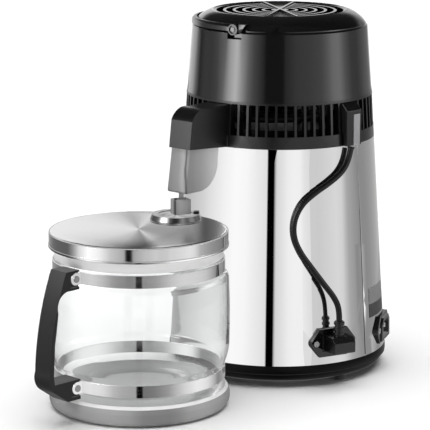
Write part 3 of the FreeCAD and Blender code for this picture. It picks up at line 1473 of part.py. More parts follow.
def carafe_handle():
    body = new_body("carafe_handle")
    pad(body, draw(
        side(body, s.handle_turn),
        (s.handle_root, s.grip_top), (s.grip_brow, s.grip_top),
        (s.grip_upper, s.grip_upper_height, -s.grip_brow_round),
        (s.grip_middle, s.grip_middle_height), (s.grip_lower, s.grip_lower_height),
        (s.grip_lower - s.grip_slant, s.grip_bottom), (s.handle_root, s.grip_bottom),
        (s.handle_root, s.handle_bottom), (s.handle_sole, s.handle_bottom),
        (s.handle_toe, s.handle_toe_height), (s.handle_heel, s.handle_heel_height, s.heel_round),
        (s.handle_brow, s.handle_top, s.handle_round), (s.handle_root, s.handle_top)),
        s.handle_half * 2, both=True)
    for way in (1, -1):
        recess = side(body, s.handle_turn, s.handle_web * way)
        for low in (s.upper_band_low, s.lower_band_low):
            box(recess, s.handle_root - s.over, low - s.recess_play, s.recess_end,
                low + s.band_tall + s.recess_play)
        pocket(body, recess, s.handle_half, out=way > 0)
    for low in (s.upper_band_low, s.lower_band_low):
        hole = ring(side(body, s.handle_turn), s.ear_reach, low + s.band_tall / 2,
                    s.bolt_radius + s.shaft_fit)
        pocket(body, hole, s.handle_half * 2, both=True)
    at_carafe(body)


# ---------------------------------------------------------------- carafe lid and drip cap

def carafe_lid():
    body = new_body("carafe_lid")
    wall, curve, high = s.top_sheet, s.top_round, s.top_height
    low = s.skirt_bottom
    bead = s.skirt_radius + s.bead_proud
    revolve(body, draw(
        side(body),
        (s.skirt_radius - wall, low), (bead, low), (bead, low + s.bead_height),
        (s.skirt_radius, low + s.bead_height), (s.top_radius, high - curve),
        (s.top_radius - curve, high, curve), (0, high), (0, high - wall),
        (s.top_radius - curve, high - wall), (s.top_radius - wall, high - curve, wall - curve)))
    hole = ring(flat(body, high - wall), s.cap_off, 0, s.cap_hole)
    pocket(body, hole, wall, out=True)
    at_carafe(body)


def lid_seal():
    body = new_body("lid_seal")
    revolve(body, box(side(body), s.seal_inner, s.glass_top + s.seal_gap, s.seal_outer,
                      s.top_height - s.top_sheet))
    at_carafe(body)


def at_cap(body):
    stand(body, s.cap_off - s.carafe_out, 0, s.top_height + s.seal_gap)


def chute_outline(sketch, inset):
    """The chute's rectangle, turned about its own middle beside the cap's axis."""
    half, deep = s.chute_wide / 2 - inset, s.chute_deep / 2 - inset
    along = (cosine(s.chute_turn), sine(s.chute_turn))
    across = (-sine(s.chute_turn), cosine(s.chute_turn))
    middle = (s.chute_across, s.chute_along)
    corners = []
    for far, near in ((-half, -deep), (half, -deep), (half, deep), (-half, deep)):
        corners.append(tuple(
            middle[axis] + far * along[axis] + near * across[axis] for axis in (0, 1)))
    return draw(sketch, *corners)


def cap_ring():
    body = new_body("cap_ring")
    high, wall = s.cap_height, s.cap_wall
    spigot = s.cap_hole - s.cap_fit
    rim, top = s.cap_rim, s.cap_radius
    rib, depth = s.cap_rib_height, s.cap_rib_depth
    revolve(body, draw(
        side(body),
        (0, high - s.cap_sink - wall), (spigot - wall, high - s.cap_sink - wall),
        (spigot - wall, -s.cap_spigot), (spigot, -s.cap_spigot), (spigot, 0), (rim, 0),
        (rim, rib), (rim - depth, rib), (rim - depth, rib * 2), (rim, rib * 2),
        (top, high), (s.cap_dish, high), (s.cap_dish, high - s.cap_sink),
        (0, high - s.cap_sink)))
    drain = chute_outline(flat(body, high - s.cap_sink - wall), s.chute_wall)
    pocket(body, drain, wall, out=True)
    at_cap(body)


def drip_chute():
    body = new_body("drip_chute")
    low = s.cap_height - s.cap_sink
    tall = s.chute_top - s.top_height - s.seal_gap - low
    outline = chute_outline(flat(body, low), 0)
    chute_outline(outline, s.chute_wall)
    pad(body, outline, tall)
    at_cap(body)


def cap_knob():
    body = new_body("cap_knob")
    half = s.knob_width / 2
    lug = box(flat(body, s.cap_height, s.knob_turn), s.knob_inner, -half, s.cap_radius, half)
    pad(body, lug, s.knob_rise)
    at_cap(body)


# ---------------------------------------------------------------- the whole distiller

def build():
    base_ring()
    for number in range(int(s.corners.number)):
        rubber_foot(number)
        base_screw(number)
    base_plate()
    outer_shell()
    boiler_pot()
    heating_element()
    thermostat()
    fan_socket()
    fan_lead_plug()
    fan_lead()
    mains_inlet()
    for label, place in zip(("live", "neutral", "earth"), PIN_PLACES):
        inlet_pin("inlet_pin_" + label, *place)
    for number, way in enumerate((-1, 1), start=1):
        connector_screw("socket_screw_%d" % number, s.socket_turn, s.socket_height, way)
        connector_screw("inlet_screw_%d" % number, s.inlet_turn, s.inlet_height, way)
    rating_plate()
    lid_gasket()
    condenser_lid()
    condenser_coil()
    vent_ring()
    motor_bracket()
    fan_motor()
    fan_shaft()
    fan_rotor()
    fan_nut()
    head_cup()
    top_dome()
    for number in range(2):
        bail_screw(number)
    bail()
    lead_tower()
    tower_plate()
    lead_gland()
    spout_cover()
    spout_body()
    filter_cup()
    carafe_glass()
    carafe_base()
    for name, low in (("upper", s.upper_band_low), ("lower", s.lower_band_low)):
        carafe_band(name + "_band", low)
        carafe_bolt(name + "_bolt", low)
    carafe_handle()
    carafe_lid()
    lid_seal()
    cap_ring()
    drip_chute()
    cap_knob()


def check():
    """Stop if a feature failed, cut nothing, or left a sub-part without a valid solid."""
    faults = []
    for item in doc.Objects:
        if {"Invalid", "Error"} & set(item.State):
            faults.append("%s: %s" % (item.Name, item.State))
        elif item.isDerivedFrom("PartDesign::Pocket") or item.isDerivedFrom("PartDesign::Groove"):
            if item.BaseFeature.Shape.Volume - item.Shape.Volume < 0.1:
                faults.append(item.Name + ": cuts nothing")
    for piece in pieces:
        shape = piece.Shape
        if shape.isNull() or not shape.isValid() or len(shape.Solids) != 1:
            faults.append(piece.Label + ": not one valid solid")
    if faults:
        raise ValueError("\n".join(faults))


def write():
    os.makedirs("parts", exist_ok=True)
    for piece in pieces:
        piece.Shape.exportStep(os.path.join("parts", piece.Label + ".step"))
    print("%d sub-parts written" % len(pieces))


build()
doc.recompute()
check()
write()
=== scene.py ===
"""Countertop water distiller: the finished look of the boiler, its fan head and the carafe.

Lengths are in metres. The tank's axis stands on the origin, +Z is up and -X points
towards the carafe.
"""

import math

import bmesh
import bpy
from bpy.props import FloatProperty, FloatVectorProperty, PointerProperty
from mathutils import Matrix, Vector


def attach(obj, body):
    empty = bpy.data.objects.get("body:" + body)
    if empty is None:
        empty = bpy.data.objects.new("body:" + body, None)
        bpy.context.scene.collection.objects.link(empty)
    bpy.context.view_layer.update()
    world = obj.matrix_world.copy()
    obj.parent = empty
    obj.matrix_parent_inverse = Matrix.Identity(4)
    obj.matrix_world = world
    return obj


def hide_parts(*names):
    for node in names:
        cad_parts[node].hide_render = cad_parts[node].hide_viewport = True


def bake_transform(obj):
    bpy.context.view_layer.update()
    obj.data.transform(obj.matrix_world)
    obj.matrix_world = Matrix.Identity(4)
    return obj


bl_info = {
    "name": "Water Distiller",
    "version": (1, 0, 0),
    "blender": (4, 5, 0),
    "location": "View3D > Sidebar > Distiller",
    "description": "Dresses the solids of a water distiller with finished pieces",
    "category": "Object",
}

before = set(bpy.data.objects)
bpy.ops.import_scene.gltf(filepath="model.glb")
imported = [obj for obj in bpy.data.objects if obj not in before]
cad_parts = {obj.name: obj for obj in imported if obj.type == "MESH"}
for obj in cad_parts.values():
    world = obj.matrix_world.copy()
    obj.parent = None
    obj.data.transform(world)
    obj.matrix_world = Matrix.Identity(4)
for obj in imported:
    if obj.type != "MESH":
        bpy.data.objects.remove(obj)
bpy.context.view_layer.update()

MM = 0.001
ROUND_STEPS = 144
SMOOTH_ANGLE = math.radians(32)
CARAFE = Vector((-0.214, 0.0, 0.0))
CAP = Vector((-0.1601, 0.0, 0.176))


# ---------------------------------------------------------------- sizes and colours


def length(name, millimetres, description):
    return FloatProperty(
        name=name, description=description, default=millimetres * MM, min=0.0,
        unit="LENGTH", subtype="DISTANCE")


def angle(name, degrees, description):
    return FloatProperty(
        name=name, description=description, default=math.radians(degrees),
        unit="ROTATION", subtype="ANGLE")


def colour(name, value, description):
    return FloatVectorProperty(
        name=name, description=description, default=value, min=0.0, max=1.0,
        size=3, subtype="COLOR")


class DistillerSizes(bpy.types.PropertyGroup):
    """Driving sizes of the finished pieces."""

    base_radius: length("Base radius", 113.4, "Widest radius of the black base ring")
    base_height: length("Base height", 23.5, "Top edge of the base ring")
    shell_foot: length("Shell foot", 112.25, "Radius of the steel shell at its seat")
    shell_neck: length("Shell neck", 98.3, "Radius of the steel shell at its top")
    shell_low: length("Shell low edge", 19.5, "Height of the shell's seat")
    shell_top: length("Shell top", 243.0, "Height of the shell's top")
    seam_turn: angle("Seam", 273.0, "Direction of the joint of the shell's sheet")
    lead_diameter: length("Lead diameter", 6.0, "Outside diameter of the fan lead")
    lid_radius: length("Lid radius", 87.6, "Radius of the carafe's lid")


class DistillerFinishes(bpy.types.PropertyGroup):
    """Base colours of the finishes."""

    moulding: colour("Moulding", (0.0035, 0.0035, 0.0038), "Black mouldings")
    grip: colour("Grip", (0.009, 0.009, 0.0093), "Black grip of the carafe")
    rubber: colour("Rubber", (0.003, 0.003, 0.003), "Feet and the lead's sleeve")
    steel: colour("Steel", (0.88, 0.88, 0.88), "Polished stainless sheet")
    brushed: colour("Brushed steel", (0.62, 0.62, 0.62), "Brushed stainless sheet")
    screws: colour("Screws", (0.70, 0.70, 0.70), "Plated screws, bolts and pins")
    silicone: colour("Silicone", (0.96, 0.96, 0.955), "White gaskets")
    nozzle: colour("Clear plastic", (0.83, 0.83, 0.82), "Filter cup and drip chute")
    plate: colour("Plates", (0.34, 0.34, 0.35), "Rating plate and the tower's strip")


def sizes():
    return bpy.context.scene.distiller_sizes


def finishes():
    return bpy.context.scene.distiller_finishes


# ---------------------------------------------------------------- shader node groups

# Painted light and shade across the spout, from its far end to the tank, and across the drip
# chute.
SPOUT_ENDS = (-0.171, -0.0967)
SPOUT_PAINTED_LIGHT = (
    (0.0, 0.25), (0.05, 0.34), (0.2, 0.42), (0.29, 0.62), (0.325, 0.5), (0.335, 0.14),
    (0.36, 0.16), (0.375, 0.40), (0.5, 0.42), (0.62, 0.5), (0.8, 0.72), (1.0, 0.95),
)
CHUTE_SIDES = (-0.1074, -0.0869)
CHUTE_PAINTED_LIGHT = (
    (0.0, 0.05), (0.06, 0.5), (0.14, 0.5), (0.2, 0.08), (0.28, 0.06), (0.32, 0.5),
    (0.5, 0.62), (0.8, 0.5), (0.95, 0.42), (1.0, 0.2),
)

# Painted reflection on turned pieces, as brightness by direction from their centre in
# degrees from +X: the brushed top of the lid, its rim, the carafe's base, its lower band and
# the drip cap.
SUNBURST_PAINTED_REFLECTION = (
    (-180, 0.48), (-170, 0.45), (-150, 0.34), (-142, 0.2), (-134, 0.1), (-131, 0.09),
    (-125, 0.36), (-122, 0.46), (-114, 0.32), (-104, 0.2), (-94, 0.14), (-78, 0.11),
    (-50, 0.08), (-20, 0.08), (8, 0.09), (18, 0.15), (26, 0.32), (32, 0.42), (38, 0.32),
    (42, 0.22), (49, 0.12), (54, 0.18), (60, 0.3), (68, 0.38), (80, 0.46), (100, 0.5),
    (150, 0.5), (180, 0.48),
)
RIM_PAINTED_REFLECTION = (
    (-180, 0.5), (-177, 0.75), (-170, 0.99), (-162, 0.8), (-155, 0.56), (-145, 0.47),
    (-130, 0.54), (-123, 0.66), (-117, 0.95), (-85, 1.0), (-78, 0.8), (-72, 0.55),
    (0, 0.5), (120, 0.35), (142, 0.18), (161, 0.15), (173, 0.14), (177, 0.3), (180, 0.5),
)
BASE_PAINTED_REFLECTION = (
    (-180, 0.68), (-152, 0.68), (-143, 0.58), (-135, 0.42), (-131, 0.39), (-118, 0.39),
    (-112, 0.47), (-104, 0.62), (-94, 0.68), (-76, 0.60), (-60, 0.48), (90, 0.40),
    (146, 0.42), (160, 0.56), (180, 0.68),
)
LOWER_PAINTED_REFLECTION = (
    (-180, 0.80), (-168, 0.72), (-152, 0.95), (-137.5, 0.95), (-135.5, 0.42),
    (-118, 0.38), (-108, 0.55), (-96, 0.78), (-70, 0.9), (0, 0.8), (120, 0.8),
    (180, 0.80),
)
CAP_PAINTED_REFLECTION = (
    (-180, 0.1), (-172, 0.22), (-160, 0.28), (-151, 0.08), (-143, 0.1), (-132, 0.3),
    (-122, 0.3), (-112, 0.1), (-95, 0.08), (-80, 0.2), (0, 0.22), (120, 0.2), (180, 0.1),
)


def link(tree, source, target):
    tree.links.new(source, target)


def feed(tree, value, socket):
    """Sets a socket to a number, or links it to another socket."""
    if isinstance(value, (int, float)):
        socket.default_value = value
    else:
        link(tree, value, socket)


def math_node(tree, operation, *values, clamp=False):
    node = tree.nodes.new("ShaderNodeMath")
    node.operation = operation
    node.use_clamp = clamp
    for socket, value in zip(node.inputs, values):
        feed(tree, value, socket)
    return node.outputs[0]


def map_range(tree, value, start, end):
    """Where a value stands between a start and an end, from 0 to 1."""
    node = tree.nodes.new("ShaderNodeMapRange")
    node.inputs["From Min"].default_value = start
    node.inputs["From Max"].default_value = end
    link(tree, value, node.inputs["Value"])
    return node.outputs["Result"]


def grey_ramp(tree, share, stops):
    """A ramp of greys from stops of a rising position and a value."""
    ramp = tree.nodes.new("ShaderNodeValToRGB")
    elements = ramp.color_ramp.elements
    elements[0].position = stops[0][0]
    elements[-1].position = stops[-1][0]
    for position, _value in stops[1:-1]:
        elements.new(position)
    for element, (_position, value) in zip(elements, stops):
        element.color = (value, value, value, 1.0)
    link(tree, share, ramp.inputs["Fac"])
    return ramp.outputs["Color"]


def round_stops(stops, scale=1.0):
    """Stops in degrees from -180 to 180, as positions from 0 to 1."""
    return [((degrees + 180.0) / 360.0, value / scale) for degrees, value in stops]


def object_place(tree):
    return tree.nodes.new("ShaderNodeTexCoord").outputs["Object"]


def split(tree, vector):
    apart = tree.nodes.new("ShaderNodeSeparateXYZ")
    link(tree, vector, apart.inputs["Vector"])
    return apart.outputs


def place_about(tree, centre):
    """The split place on the object, measured from a centre."""
    centred = tree.nodes.new("ShaderNodeVectorMath")
    centred.operation = "SUBTRACT"
    link(tree, object_place(tree), centred.inputs[0])
    link(tree, centre, centred.inputs[1])
    return split(tree, centred.outputs["Vector"])


def seen_from_camera(tree, vector):
    """A vector turned about Z so that X runs to the camera's right, and split."""
    turn = tree.nodes.new("ShaderNodeMapping")
    turn.vector_type = "POINT"
    turn.inputs["Rotation"].default_value = (0.0, 0.0, -VIEW_TURN)
    link(tree, vector, turn.inputs["Vector"])
    return split(tree, turn.outputs["Vector"])


def object_noise(tree, scale, detail=3.0, stretch=(1.0, 1.0, 1.0)):
    mapping = tree.nodes.new("ShaderNodeMapping")
    mapping.inputs["Scale"].default_value = stretch
    noise = tree.nodes.new("ShaderNodeTexNoise")
    noise.inputs["Detail"].default_value = detail
    link(tree, object_place(tree), mapping.inputs["Vector"])
    link(tree, mapping.outputs["Vector"], noise.inputs["Vector"])
    feed(tree, scale, noise.inputs["Scale"])
    return noise.outputs["Fac"]


def tinted(tree, colour_socket, value):
    tint = tree.nodes.new("ShaderNodeHueSaturation")
    link(tree, value, tint.inputs["Value"])
    link(tree, colour_socket, tint.inputs["Color"])
    return tint.outputs["Color"]


def mixed_colours(tree, factor, first, second, blend="MIX"):
    mixed = tree.nodes.new("ShaderNodeMix")
    mixed.data_type = "RGBA"
    mixed.blend_type = blend
    feed(tree, factor, mixed.inputs["Factor"])
    link(tree, first, mixed.inputs["A"])
    link(tree, second, mixed.inputs["B"])
    return mixed.outputs["Result"]


def bumped(tree, height, strength, distance):
    bump = tree.nodes.new("ShaderNodeBump")
    bump.inputs["Distance"].default_value = distance
    feed(tree, strength, bump.inputs["Strength"])
    link(tree, height, bump.inputs["Height"])
    return bump.outputs["Normal"]


SKIN_OUTPUTS = (("Color", "NodeSocketColor"), ("Roughness", "NodeSocketFloat"),
                ("Normal", "NodeSocketVector"))


def skin_group(name, inputs, build, *settings):
    """A group that gives a colour, a roughness and a normal, built on its first use."""
    found = bpy.data.node_groups.get(name)
    if found:
        return found
    group = bpy.data.node_groups.new(name, "ShaderNodeTree")
    for label, default in inputs:
        if isinstance(default, float):
            kind = "NodeSocketFloat"
        else:
            kind = "NodeSocketColor" if len(default) == 4 else "NodeSocketVector"
        socket = group.interface.new_socket(name=label, in_out="INPUT", socket_type=kind)
        socket.default_value = default
    for label, kind in SKIN_OUTPUTS:
        group.interface.new_socket(name=label, in_out="OUTPUT", socket_type=kind)
    inside = group.nodes.new("NodeGroupInput")
    outside = group.nodes.new("NodeGroupOutput")
    build(group, inside.outputs, outside.inputs, *settings)
    return group


def inner_group(tree, group):
    node = tree.nodes.new("ShaderNodeGroup")
    node.node_tree = group
    return node


def hand_on(tree, skin, outside):
    """Links what an inner group gives to the sockets of the same names."""
    for label, _kind in SKIN_OUTPUTS:
        link(tree, skin.outputs[label], outside[label])


def build_marked(group, inside, outside, marks, amount, tint, relief, strength, distance):
    """Marks that change the roughness and the colour a little, over a fine relief."""
    swing = math_node(group, "SUBTRACT", marks(group, inside), 0.5)
    scaled = math_node(group, "MULTIPLY", swing, inside[amount])
    rough = math_node(group, "ADD", inside["Roughness"], scaled, clamp=True)
    link(group, rough, outside["Roughness"])
    value = math_node(group, "MULTIPLY_ADD", swing, tint, 1.0)
    link(group, tinted(group, inside["Color"], value), outside["Color"])
    normal = bumped(group, relief(group, inside), inside[strength], distance)
    link(group, normal, outside["Normal"])


def moulded_skin():
    """Fine grain, faint smears and dust of a moulded plastic or rubber face."""
    return skin_group(
        "moulded_skin",
        (("Color", (0.02, 0.02, 0.02, 1.0)), ("Roughness", 0.3), ("Smear", 0.06),
         ("Grain Scale", 1400.0), ("Grain", 0.04)),
        build_marked,
        lambda group, inside: object_noise(group, 26.0, 4.0), "Smear", 0.35,
        lambda group, inside: object_noise(group, inside["Grain Scale"], 2.0), "Grain",
        0.0002)


def rolled_sheet():
    """Rolling lines, faint wipe marks and a very slight wave of polished sheet metal."""
    return skin_group(
        "rolled_sheet",
        (("Color", (0.8, 0.8, 0.8, 1.0)), ("Roughness", 0.06), ("Wipe", 0.05),
         ("Wave", 0.02)),
        build_marked,
        lambda group, inside: object_noise(group, 14.0, 5.0, (1.0, 1.0, 0.35)), "Wipe", 0.06,
        lambda group, inside: object_noise(group, 9.0, 1.0, (1.0, 1.0, 0.2)), "Wave", 0.002)


TURNED_INPUTS = (
    ("Centre", (0.0, 0.0, 0.0)), ("Color", (0.62, 0.62, 0.62, 1.0)), ("Roughness", 0.25),
    ("Ring Scale", 2600.0), ("Depth", 0.2))


def build_brushing(group, inside, outside):
    apart = place_about(group, inside["Centre"])
    across = math_node(group, "MULTIPLY", apart["X"], apart["X"])
    along = math_node(group, "MULTIPLY", apart["Y"], apart["Y"])
    radius = math_node(group, "SQRT", math_node(group, "ADD", across, along))
    rings = group.nodes.new("ShaderNodeTexNoise")
    rings.noise_dimensions = "2D"
    rings.inputs["Detail"].default_value = 3.0
    ring_place = group.nodes.new("ShaderNodeCombineXYZ")
    link(group, radius, ring_place.inputs["X"])
    link(group, apart["Z"], ring_place.inputs["Y"])
    link(group, ring_place.outputs["Vector"], rings.inputs["Vector"])
    link(group, inside["Ring Scale"], rings.inputs["Scale"])
    # The wedges paint a sunburst sheen into the colour: a painted highlight in soft wedges.
    wedges = group.nodes.new("ShaderNodeTexNoise")
    wedges.noise_dimensions = "1D"
    wedges.inputs["Scale"].default_value = 2.2
    wedges.inputs["Detail"].default_value = 5.0
    wedges.inputs["Roughness"].default_value = 0.62
    link(group, math_node(group, "ARCTAN2", apart["Y"], apart["X"]), wedges.inputs["W"])
    sheen = math_node(group, "SUBTRACT", wedges.outputs["Fac"], 0.5)
    strong = math_node(group, "MULTIPLY", sheen, inside["Sheen"])
    line = math_node(group, "SUBTRACT", rings.outputs["Fac"], 0.5)
    faint = math_node(group, "MULTIPLY", line, 0.12)
    value = math_node(group, "ADD", math_node(group, "ADD", strong, faint), 1.0)
    link(group, tinted(group, inside["Color"], value), outside["Color"])
    rough = math_node(group, "ADD", inside["Roughness"], faint, clamp=True)
    link(group, rough, outside["Roughness"])
    normal = bumped(group, rings.outputs["Fac"], inside["Depth"], 0.0001)
    link(group, normal, outside["Normal"])


def turned_brushing():
    """Rings left by brushing a turned sheet, and a painted sunburst sheen in soft bright and
    dark wedges round the centre.
    """
    return skin_group("turned_brushing", TURNED_INPUTS + (("Sheen", 0.3),), build_brushing)


def build_painted_reflection(group, inside, outside, stops):
    brushed = inner_group(group, turned_brushing())
    brushed.inputs["Sheen"].default_value = 0.05
    for label, _default in TURNED_INPUTS:
        link(group, inside[label], brushed.inputs[label])
    apart = place_about(group, inside["Centre"])
    turn = math_node(group, "ARCTAN2", apart["Y"], apart["X"])
    share = math_node(group, "MULTIPLY_ADD", turn, 0.5 / math.pi, 0.5)
    # Painted reflection: the ramp sets bright and dark sectors by direction round the
    # centre.
    sectors = grey_ramp(group, share, round_stops(stops))
    toned = mixed_colours(group, 1.0, brushed.outputs["Color"], sectors, "MULTIPLY")
    link(group, toned, outside["Color"])
    link(group, brushed.outputs["Roughness"], outside["Roughness"])
    link(group, brushed.outputs["Normal"], outside["Normal"])


def painted_reflection_sectors(name, stops):
    """Painted reflection: bright and dark sectors round a centre, as turned and brushed
    steel shows them.
    """
    return skin_group(name, TURNED_INPUTS, build_painted_reflection, stops)


def build_drawn_painted_light(group, inside, outside):
    skin = inner_group(group, rolled_sheet())
    skin.inputs["Wipe"].default_value = 0.1
    apart = split(group, object_place(group))
    around = math_node(group, "SUBTRACT", apart["X"], apart["Y"])
    cloud = object_noise(group, 45.0, 2.0, (1.0, 1.0, 0.5))
    swing = math_node(group, "SUBTRACT", cloud, 0.5)
    drift = math_node(group, "MULTIPLY_ADD", swing, 0.12,
                      map_range(group, around, *SPOUT_ENDS))
    # The ramp paints light and shade along the spout into its colour.
    tone = grey_ramp(group, drift, SPOUT_PAINTED_LIGHT)
    toned = mixed_colours(group, 1.0, tone, inside["Color"], "MULTIPLY")
    link(group, toned, skin.inputs["Color"])
    link(group, inside["Roughness"], skin.inputs["Roughness"])
    hand_on(group, skin, outside)


def drawn_sheet_painted_light():
    """Soft cloudy painted light and shade over drawn sheet, lighter towards the tank."""
    return skin_group("drawn_sheet_painted_light", (("Color", (0.9, 0.9, 0.9, 1.0)), ("Roughness", 0.3)),
                      build_drawn_painted_light)


def build_two_tone(group, inside, outside):
    skin = inner_group(group, moulded_skin())
    apart = split(group, object_place(group))
    upper = math_node(group, "GREATER_THAN", apart["Z"], inside["Height"])
    toned = mixed_colours(group, upper, inside["Lower Color"], inside["Color"])
    link(group, toned, skin.inputs["Color"])
    link(group, inside["Roughness"], skin.inputs["Roughness"])
    hand_on(group, skin, outside)


def two_tone_foil():
    """A plain plate with a darker field along its lower edge."""
    return skin_group(
        "two_tone_foil",
        (("Color", (0.4, 0.4, 0.4, 1.0)), ("Lower Color", (0.1, 0.1, 0.1, 1.0)),
         ("Height", 0.07), ("Roughness", 0.35)), build_two_tone)


# ---------------------------------------------------------------- materials


def principled(name):
    """A new material, its node tree and its shader."""
    material = bpy.data.materials.new(name)
    material.use_nodes = True
    tree = material.node_tree
    return material, tree, tree.nodes["Principled BSDF"]


def surface(name, group, values, metallic=0.0, specular=0.5):
    """A Principled material fed by one of the groups above."""
    found = bpy.data.materials.get(name + "_finish")
    if found:
        return found
    material, tree, shader = principled(name + "_finish")
    shader.inputs["Metallic"].default_value = metallic
    shader.inputs["Specular IOR Level"].default_value = specular
    skin = inner_group(tree, group)
    for label, value in values.items():
        skin.inputs[label].default_value = value
    for given, taken in (("Color", "Base Color"), ("Roughness", "Roughness"),
                         ("Normal", "Normal")):
        link(tree, skin.outputs[given], shader.inputs[taken])
    return material


def toned(tone):
    """The colour of a grey, or of a finish by its name."""
    value = getattr(finishes(), tone) if isinstance(tone, str) else (tone, tone, tone)
    return (value[0], value[1], value[2], 1.0)


# Each entry is a tone, a roughness, and how strong the smears and the grain are.
MOULDINGS = {
    "gloss_black_moulding": {"values": ("moulding", 0.1, 0.03, 0.01)},
    "satin_black_moulding": {"values": ("moulding", 0.26, 0.06, 0.04)},
    "black_base_moulding": {"values": (0.002, 0.3, 0.06, 0.02), "specular": 0.1},
    # Near-black matt for the parts behind the slats: black plastic, and painted shade on the
    # steel ones.
    "black_and_painted_shade_moulding": {"values": (0.0012, 0.7, 0.03, 0.03), "specular": 0.06},
    "grained_black_grip": {
        "values": ("grip", 0.42, 0.08, 0.12), "grain_scale": 1100.0, "specular": 0.28},
    "joint_shadow": {"values": (0.02, 0.6, 0.02, 0.02), "specular": 0.1},
    "black_rubber": {"values": ("rubber", 0.34, 0.04, 0.02), "specular": 0.3},
    "white_silicone": {"values": ("silicone", 0.45, 0.05, 0.03)},
    "satin_foil": {"values": ("plate", 0.3, 0.06, 0.03), "metallic": 0.35},
    "smoky_plastic": {"values": ("nozzle", 0.2, 0.05, 0.02)},
}
# Each entry is a tone, a roughness, and how strong the wipe marks and the wave are.
SHEETS = {
    "polished_steel": {"values": ("steel", 0.03, 0.015, 0.004)},
    "satin_steel": {"values": ("brushed", 0.32, 0.1, 0.02)},
    "plated_steel": {"values": ("screws", 0.2, 0.1, 0.02)},
    "dull_steel": {"values": (0.3, 0.28, 0.1, 0.02)},
    # Dull grey for the top of the lid's skirt: painted shade.
    "lid_edge_painted_shade": {"values": (0.42, 0.5, 0.05, 0.02), "metallic": 0.0, "specular": 0.1},
    "grey_screw": {"values": (0.36, 0.45, 0.1, 0.02), "metallic": 0.0, "specular": 0.3},
}


def moulding(name):
    entry = MOULDINGS[name]
    tone, roughness, smear, grain = entry["values"]
    return surface(name, moulded_skin(), {
        "Color": toned(tone), "Roughness": roughness, "Smear": smear, "Grain": grain,
        "Grain Scale": entry.get("grain_scale", 1400.0)},
        entry.get("metallic", 0.0), entry.get("specular", 0.5))


def sheet(name):
    entry = SHEETS[name]
    tone, roughness, wipe, wave = entry["values"]
    return surface(name, rolled_sheet(), {
        "Color": toned(tone), "Roughness": roughness, "Wipe": wipe, "Wave": wave},
        entry.get("metallic", 1.0), entry.get("specular", 0.5))


def brushed_about(name, centre, roughness, sheen, depth=0.2, tone="brushed"):
    return surface(name, turned_brushing(), {
        "Centre": centre, "Color": toned(tone), "Roughness": roughness, "Sheen": sheen,
        "Depth": depth}, metallic=1.0)


def steel_with_painted_reflection(name, centre, stops, roughness, depth=0.12):
    return surface(name, painted_reflection_sectors(name + "_sheen", stops), {
        "Centre": centre, "Color": toned(1.0), "Roughness": roughness, "Depth": depth},
        metallic=1.0)


def satin_base(name, centre, stops):
    """Satin steel of the carafe's base, lit evenly from all round, with painted reflection
    in bright and dark sectors round its centre.
    """
    return surface(name, painted_reflection_sectors(name + "_sheen", stops), {
        "Centre": centre, "Color": toned(0.66), "Roughness": 0.6, "Depth": 0.12},
        specular=0.1)


def spout_sheet():
    return surface("spout_sheet", drawn_sheet_painted_light(), {"Color": toned(0.8), "Roughness": 0.4},
                   specular=0.3)


def rating_foil():
    return surface("rating_foil", two_tone_foil(), {
        "Color": (0.24, 0.24, 0.245, 1.0), "Lower Color": (0.06, 0.06, 0.062, 1.0),
        "Height": 0.0745, "Roughness": 0.4}, specular=0.2)


def clear_chute():
    """Moulded clear plastic with painted light in the middle and painted shade where the
    walls turn away from the camera.
    """
    material, tree, shader = principled("clear_chute_finish")
    # Painted light and shade: greys by place across the camera's view.
    across = seen_from_camera(tree, object_place(tree))["X"]
    painted_streaks = grey_ramp(tree, map_range(tree, across, *CHUTE_SIDES), CHUTE_PAINTED_LIGHT)
    link(tree, painted_streaks, shader.inputs["Base Color"])
    smear = object_noise(tree, 60.0, 3.0)
    rough = math_node(tree, "MULTIPLY_ADD", smear, 0.1, 0.12)
    link(tree, rough, shader.inputs["Roughness"])
    link(tree, bumped(tree, smear, 0.02, 0.001), shader.inputs["Normal"])
    return material


def clear_glass():
    """Slightly cool glass with faint smears and a very slight wave."""
    material, tree, shader = principled("carafe_glass_finish")
    shader.inputs["Transmission Weight"].default_value = 1.0
    shader.inputs["IOR"].default_value = 1.47
    tint = tree.nodes.new("ShaderNodeValToRGB")
    tint.color_ramp.elements[0].color = (0.955, 0.965, 0.965, 1.0)
    tint.color_ramp.elements[1].color = (0.985, 0.99, 0.99, 1.0)
    link(tree, object_noise(tree, 7.0, 2.0), tint.inputs["Fac"])
    link(tree, tint.outputs["Color"], shader.inputs["Base Color"])
    rough = math_node(tree, "MULTIPLY", object_noise(tree, 30.0, 4.0), 0.02)
    link(tree, rough, shader.inputs["Roughness"])
    wave = object_noise(tree, 12.0, 1.0)
    link(tree, bumped(tree, wave, 0.03, 0.002), shader.inputs["Normal"])
    return material


# ---------------------------------------------------------------- mesh building


def smooth(mesh):
    """Smooth shading with its sharp edges kept."""
    for polygon in mesh.polygons:
        polygon.use_smooth = True
    mesh.set_sharp_from_angle(angle=SMOOTH_ANGLE)


def finish_mesh(bm, name, material, body, replaced=(), closed=True, mirrored=False):
    """Turns a bmesh into a finished piece that rides on a body.

    The carafe, the spout and the shell itself aren't mirrored in the polished steel.
    """
    bmesh.ops.remove_doubles(bm, verts=bm.verts, dist=1e-6)
    if closed:
        bmesh.ops.recalc_face_normals(bm, faces=bm.faces)
    mesh = bpy.data.meshes.new(name)
    bm.to_mesh(mesh)
    bm.free()
    smooth(mesh)
    piece = bpy.data.objects.new(name, mesh)
    bpy.context.scene.collection.objects.link(piece)
    piece.data.materials.append(material)
    piece.visible_glossy = mirrored
    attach(piece, body)
    if replaced:
        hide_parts(*replaced)
    return piece


